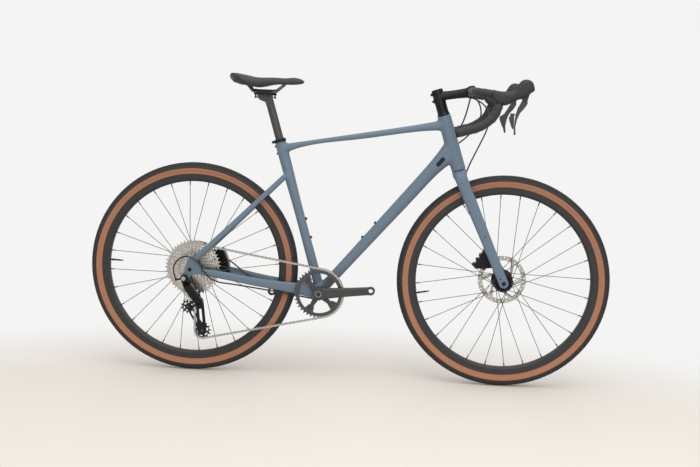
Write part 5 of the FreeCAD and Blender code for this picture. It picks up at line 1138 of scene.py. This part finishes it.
@dataclass
class Derailleur:
    """Covers of the derailleur's knuckles and link, and its cage."""

    bolt: Vector = spot_field(-0.531, -0.089, 0.322)
    outer_pin: Vector = spot_field(-0.517711, -0.096795, 0.296127)
    inner_pin: Vector = spot_field(-0.522289, -0.081205, 0.303873)
    low_pin: Vector = spot_field(-0.491711, -0.067295, 0.252127)
    pin_way: Vector = spot_field(0.860927, 0, 0.508729)
    knuckle: Vector = spot_field(-0.488, -0.0495, 0.239)
    guide: Vector = spot_field(-0.5274, -0.0295, 0.2182)
    tension: Vector = spot_field(-0.476976, -0.0295, 0.138869)
    root_radius: float = 0.0115
    ear_reach: float = 0.0118
    ear_radius: float = 0.0034
    link_reach: float = 0.0095
    link_rise: float = 0.0083
    link_radius: float = 0.0032
    belly_reach: float = 0.006
    belly_radius: float = 0.0068
    outer_face: float = -0.0349
    inner_face: float = -0.0237
    arm_shift: float = 0.0003
    plate_thickness: float = 0.0022
    pivot_hole: float = 0.0052
    long_ends: tuple[float, float] = (0.0135, 0.015)
    arm_ends: tuple[float, float] = (0.011, 0.0098)
    inner_ends: tuple[float, float] = (0.009, 0.012)
    long_slot: tuple[float, float, float] = (0.3, 0.7, 0.0042)
    arm_slot: tuple[float, float, float] = (0.42, 0.62, 0.0032)
    inner_slot: tuple[float, float, float] = (0.25, 0.75, 0.004)
    bolt_parts: tuple[tuple[float, float, float], ...] = (
        (0.0026, -0.0369, -0.0237), (0.0045, -0.0385, -0.0366))

    def build(self) -> None:
        """Makes the covers and the cage."""
        half = (self.outer_pin - self.inner_pin) / 2
        for name, root, ears, body in (("mount", self.bolt, self.outer_pin - half, Body.FRAME),
                                       ("knuckle", self.knuckle, self.low_pin - half, Body.KNUCKLE)):
            for i, way in enumerate((-1, 1)):
                ear = ears + self.pin_way * way * self.ear_reach
                cover = rounded_hull([(root, self.root_radius), (ear, self.ear_radius)])
                finished("%s_cover_%d" % (name, i), cover, Slot.BLACK_ALLOY, body, BLACK_ALLOY)
        finished("link_cover", self._link(half.normalized()), Slot.BLACK_ALLOY, Body.OUTER_LINK, BLACK_ALLOY)
        self._cage()

    def _link(self, outward: Vector) -> bmesh.types.BMesh:
        """Makes the full cover of the outer link.

        Args:
            outward: Way from the inner link to the outer one.

        Returns:
            The cover.
        """
        balls = [(pin + self.pin_way * way * self.link_reach + outward * self.link_rise, self.link_radius)
                 for pin in (self.outer_pin, self.low_pin) for way in (-1, 1)]
        middle = self.outer_pin.lerp(self.low_pin, 0.5) + outward * self.belly_reach
        balls += [(middle + self.pin_way * way * self.belly_reach, self.belly_radius) for way in (-1, 1)]
        return rounded_hull(balls)

    def _cage(self) -> None:
        """Makes the slotted plates of the cage and its bolts."""
        pivot = [(self.knuckle, self.pivot_hole)]
        for name, start, end, ends, slot, holes, y in (
                ("cage_long_plate", self.knuckle, self.tension, self.long_ends, self.long_slot, [pivot],
                 self.outer_face),
                ("cage_arm_plate", self.knuckle, self.guide, self.arm_ends, self.arm_slot, [pivot],
                 self.outer_face + self.arm_shift),
                ("cage_inner_plate", self.guide, self.tension, self.inner_ends, self.inner_slot, [],
                 self.inner_face)):
            outline = list(zip((start, end), ends))
            opening = [(start.lerp(end, part), slot[2]) for part in slot[:2]]
            shape = plate(outline, [*holes, opening], y, self.plate_thickness)
            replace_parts(finished(name, shape, Slot.BLACK_ALLOY, Body.CAGE, BLACK_ALLOY), "cage")
        bolts = bmesh.new()
        across = Matrix.Rotation(math.pi / 2, 4, "X")
        for spot in (self.guide, self.tension):
            for radius, start, end in self.bolt_parts:
                place = Matrix.Translation((spot.x, (start + end) / 2, spot.z)) @ across
                bmesh.ops.create_cone(bolts, cap_ends=True, segments=BOLT_SIDES, radius1=radius,
                                      radius2=radius, depth=end - start, matrix=place)
        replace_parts(finished("cage_bolts", bolts, Slot.STEEL, Body.CAGE, DARK_STEEL), "cage")


class Stretch(Enum):
    """Stretches of the chain, by what they follow."""

    LOOP = "chain_loop"
    DROP = "chain_drop"
    WRAP = "chain_wrap"
    NEAR = "chain_near_run"
    RUN = "chain_run"


@dataclass
class Chain:
    """Chain, parted link by link so that it follows the pulleys as well as the ring."""

    guide: Vector = spot_field(-0.5274, 0, 0.2182)
    tension: Vector = spot_field(-0.476976, 0, 0.138869)
    cog_reach: float = 0.085
    guide_reach: float = 0.0285
    tension_reach: float = 0.0325
    cage_half: float = 0.035
    wrap_ahead: float = -0.455
    near_ahead: float = -0.36
    run_ahead: float = -0.105
    run_top: float = 0.21
    drop_top: float = 0.275
    run_share: float = 0.333
    drop_share: float = 0.6

    def build(self) -> None:
        """Parts the chain, ties the loop to the frame and the wrap to the cage, and leaves the other
        stretches on no body.
        """
        whole = bmesh.new()
        whole.from_mesh(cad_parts["chain"].data)
        bmesh.ops.remove_doubles(whole, verts=whole.verts, dist=FINE_MERGE)
        kinds = list(Stretch)
        middles: dict[Stretch, list[Vector]] = {kind: [] for kind in kinds}
        for link in self._links(whole):
            middle = sum((vert.co for vert in link), Vector()) / len(link)
            kind = self._stretch(middle)
            middles[kind].append(middle)
            for face in {face for vert in link for face in vert.link_faces}:
                face.material_index = kinds.index(kind)
        for i, kind in enumerate(kinds):
            part = whole.copy()
            others = [face for face in part.faces if face.material_index != i]
            bmesh.ops.delete(part, geom=others, context="FACES")
            for face in part.faces:
                face.material_index = 0
            body = {Stretch.LOOP: Body.FRAME, Stretch.WRAP: Body.CAGE}.get(kind)
            made = finished(kind.value, part, Slot.STEEL, body, STEEL)
            self._tie(made, kind)
            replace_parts(made, "chain")
        whole.free()

    @staticmethod
    def _links(whole: bmesh.types.BMesh) -> list[list[bmesh.types.BMVert]]:
        """Sorts the chain's points by link.

        Args:
            whole: The whole chain.

        Returns:
            The points of each link.
        """
        left, links = set(whole.verts), []
        while left:
            link, edge = [], [left.pop()]
            while edge:
                vert = edge.pop()
                link.append(vert)
                for other in (line.other_vert(vert) for line in vert.link_edges):
                    if other in left:
                        left.remove(other)
                        edge.append(other)
            links.append(link)
        return links

    def _stretch(self, middle: Vector) -> Stretch:
        """Tells which stretch a link belongs to.

        Args:
            middle: Middle of the link.

        Returns:
            Its stretch.
        """
        flat = Vector((middle.x, 0, middle.z))
        between = geometry.intersect_point_line(flat, self.guide, self.tension)[0]
        low = middle.x < self.wrap_ahead and self.tension.z < middle.z < self.guide.z
        beside = low and (flat - between).length < self.cage_half
        on_guide = about(self.guide, 0, self.guide_reach)(middle)
        on_tension = about(self.tension, 0, self.tension_reach)(middle)
        if on_guide or on_tension or beside:
            return Stretch.WRAP
        if middle.x < self.run_ahead and middle.z < self.run_top:
            return Stretch.NEAR if middle.x < self.near_ahead else Stretch.RUN
        on_cog = about(REAR_AXLE, 0, self.cog_reach)(middle)
        if middle.z < self.drop_top and middle.x < self.wrap_ahead and not on_cog:
            return Stretch.DROP
        return Stretch.LOOP

    def _tie(self, made: bpy.types.Object, kind: Stretch) -> None:
        """Bakes the placing of the stretches between the pulleys and the rest into their points.

        Args:
            made: The stretch.
            kind: Which one it is.
        """
        if kind is Stretch.NEAR:
            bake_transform(made)
        elif kind is Stretch.RUN:
            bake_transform(made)
        elif kind is Stretch.DROP:
            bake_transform(made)


@dataclass
class Drivetrain:
    """Cranks, ring, chain, cassette and derailleur."""

    spindle_end: float = 0.0105
    spindle_face: float = -0.06
    mount_bolt: Vector = spot_field(-0.531, 0, 0.322)
    mount_bolt_radius: float = 0.0075
    mount_bolt_face: float = -0.0985

    def build(self) -> None:
        """Makes the derailleur and the chain and gives the drivetrain its finishes."""
        spindle = about(BRACKET, 0.0, self.spindle_end)
        bolt_head = about(self.mount_bolt, 0, self.mount_bolt_radius)
        Derailleur().build()
        dress(CRANK_GREY, "crank_right", "crank_left")
        # The cassette's speckle of near-white and near-black is painted glint and painted shade.
        dress(COG_STEEL_PAINTED_GLINT_SHADE, "cassette")
        Chain().build()
        dress(DARK_STEEL, "chainring")
        accent("crank_right", STEEL, lambda spot: spot.y < self.spindle_face and spindle(spot))
        dress(BLACK_ALLOY, "derailleur_mount", "outer_link", "inner_link", "p_knuckle")
        accent("derailleur_mount", STEEL, lambda spot: spot.y < self.mount_bolt_face and bolt_head(spot))
        dress(MOULDED, "guide_pulley", "tension_pulley")


@dataclass
class Hoses:
    """All hoses and housings that show."""

    housing: tuple[Point, ...] = (
        (-0.112, -0.014, 0.2628), (-0.19, -0.03, 0.277), (-0.275, -0.045, 0.291), (-0.38, -0.061, 0.306),
        (-0.427, -0.07, 0.311), (-0.457, -0.086, 0.332), (-0.489, -0.09, 0.384), (-0.533, -0.091, 0.4),
        (-0.567, -0.091, 0.368), (-0.566, -0.091, 0.336), (-0.559, -0.091, 0.32))
    rear: tuple[Point, ...] = (
        (-0.112, 0.014, 0.2628), (-0.19, 0.03, 0.277), (-0.253, 0.038, 0.288), (-0.329, 0.038, 0.312),
        (-0.379, 0.046, 0.352), (-0.407, 0.0528, 0.369))
    loop: tuple[Point, ...] = (
        (0.3872, -0.062, 0.9489), (0.4072, -0.044, 0.9369), (0.4192, -0.012, 0.884), (0.3852, 0.028, 0.828),
        (0.3312, 0.036, 0.782), (0.2978, 0.0264, 0.7448), (0.2858, 0.0264, 0.7308))
    shift: tuple[Point, ...] = (
        (0.3772, -0.066, 0.9489), (0.3752, -0.046, 0.9369), (0.3652, -0.012, 0.884), (0.3472, 0.033, 0.838),
        (0.3152, 0.035, 0.79), (0.2908, 0.0264, 0.7488), (0.2778, 0.0264, 0.7348))
    front: tuple[Point, ...] = (
        (0.3852, 0.062, 0.9489), (0.4272, 0.057, 0.9349), (0.4492, 0.046, 0.888), (0.4392, 0.03, 0.842),
        (0.4072, 0.02, 0.773), (0.386, 0.019, 0.7263), (0.379, 0.017, 0.7043))
    housing_length: float = 0.55
    rear_length: float = 0.32
    loop_length: float = 0.3
    shift_length: float = 0.27
    front_length: float = 0.29

    def build(self) -> None:
        """Lays every hose."""
        Hose("derailleur_housing", "rear_cables", self.housing, self.housing_length).build()
        Hose("rear_brake_hose", "rear_cables", self.rear, self.rear_length).build()
        Hose("rear_hose_loop", "steering_cables", self.loop, self.loop_length, None).build()
        Hose("shift_housing_loop", "steering_cables", self.shift, self.shift_length, None).build()
        Hose("front_brake_line", "front_brake_hose", self.front, self.front_length, Body.STEERING).build()


def main() -> None:
    """Builds the sub-assemblies in order."""
    logging.basicConfig(level=logging.INFO)
    for part in (Studio(), Hoses(), FrameSet(), Wheels(), Cockpit(), Seat(), Drivetrain()):
        part.build()
        log.info("%s is built", type(part).__name__)


if __name__ == "__main__":
    main()
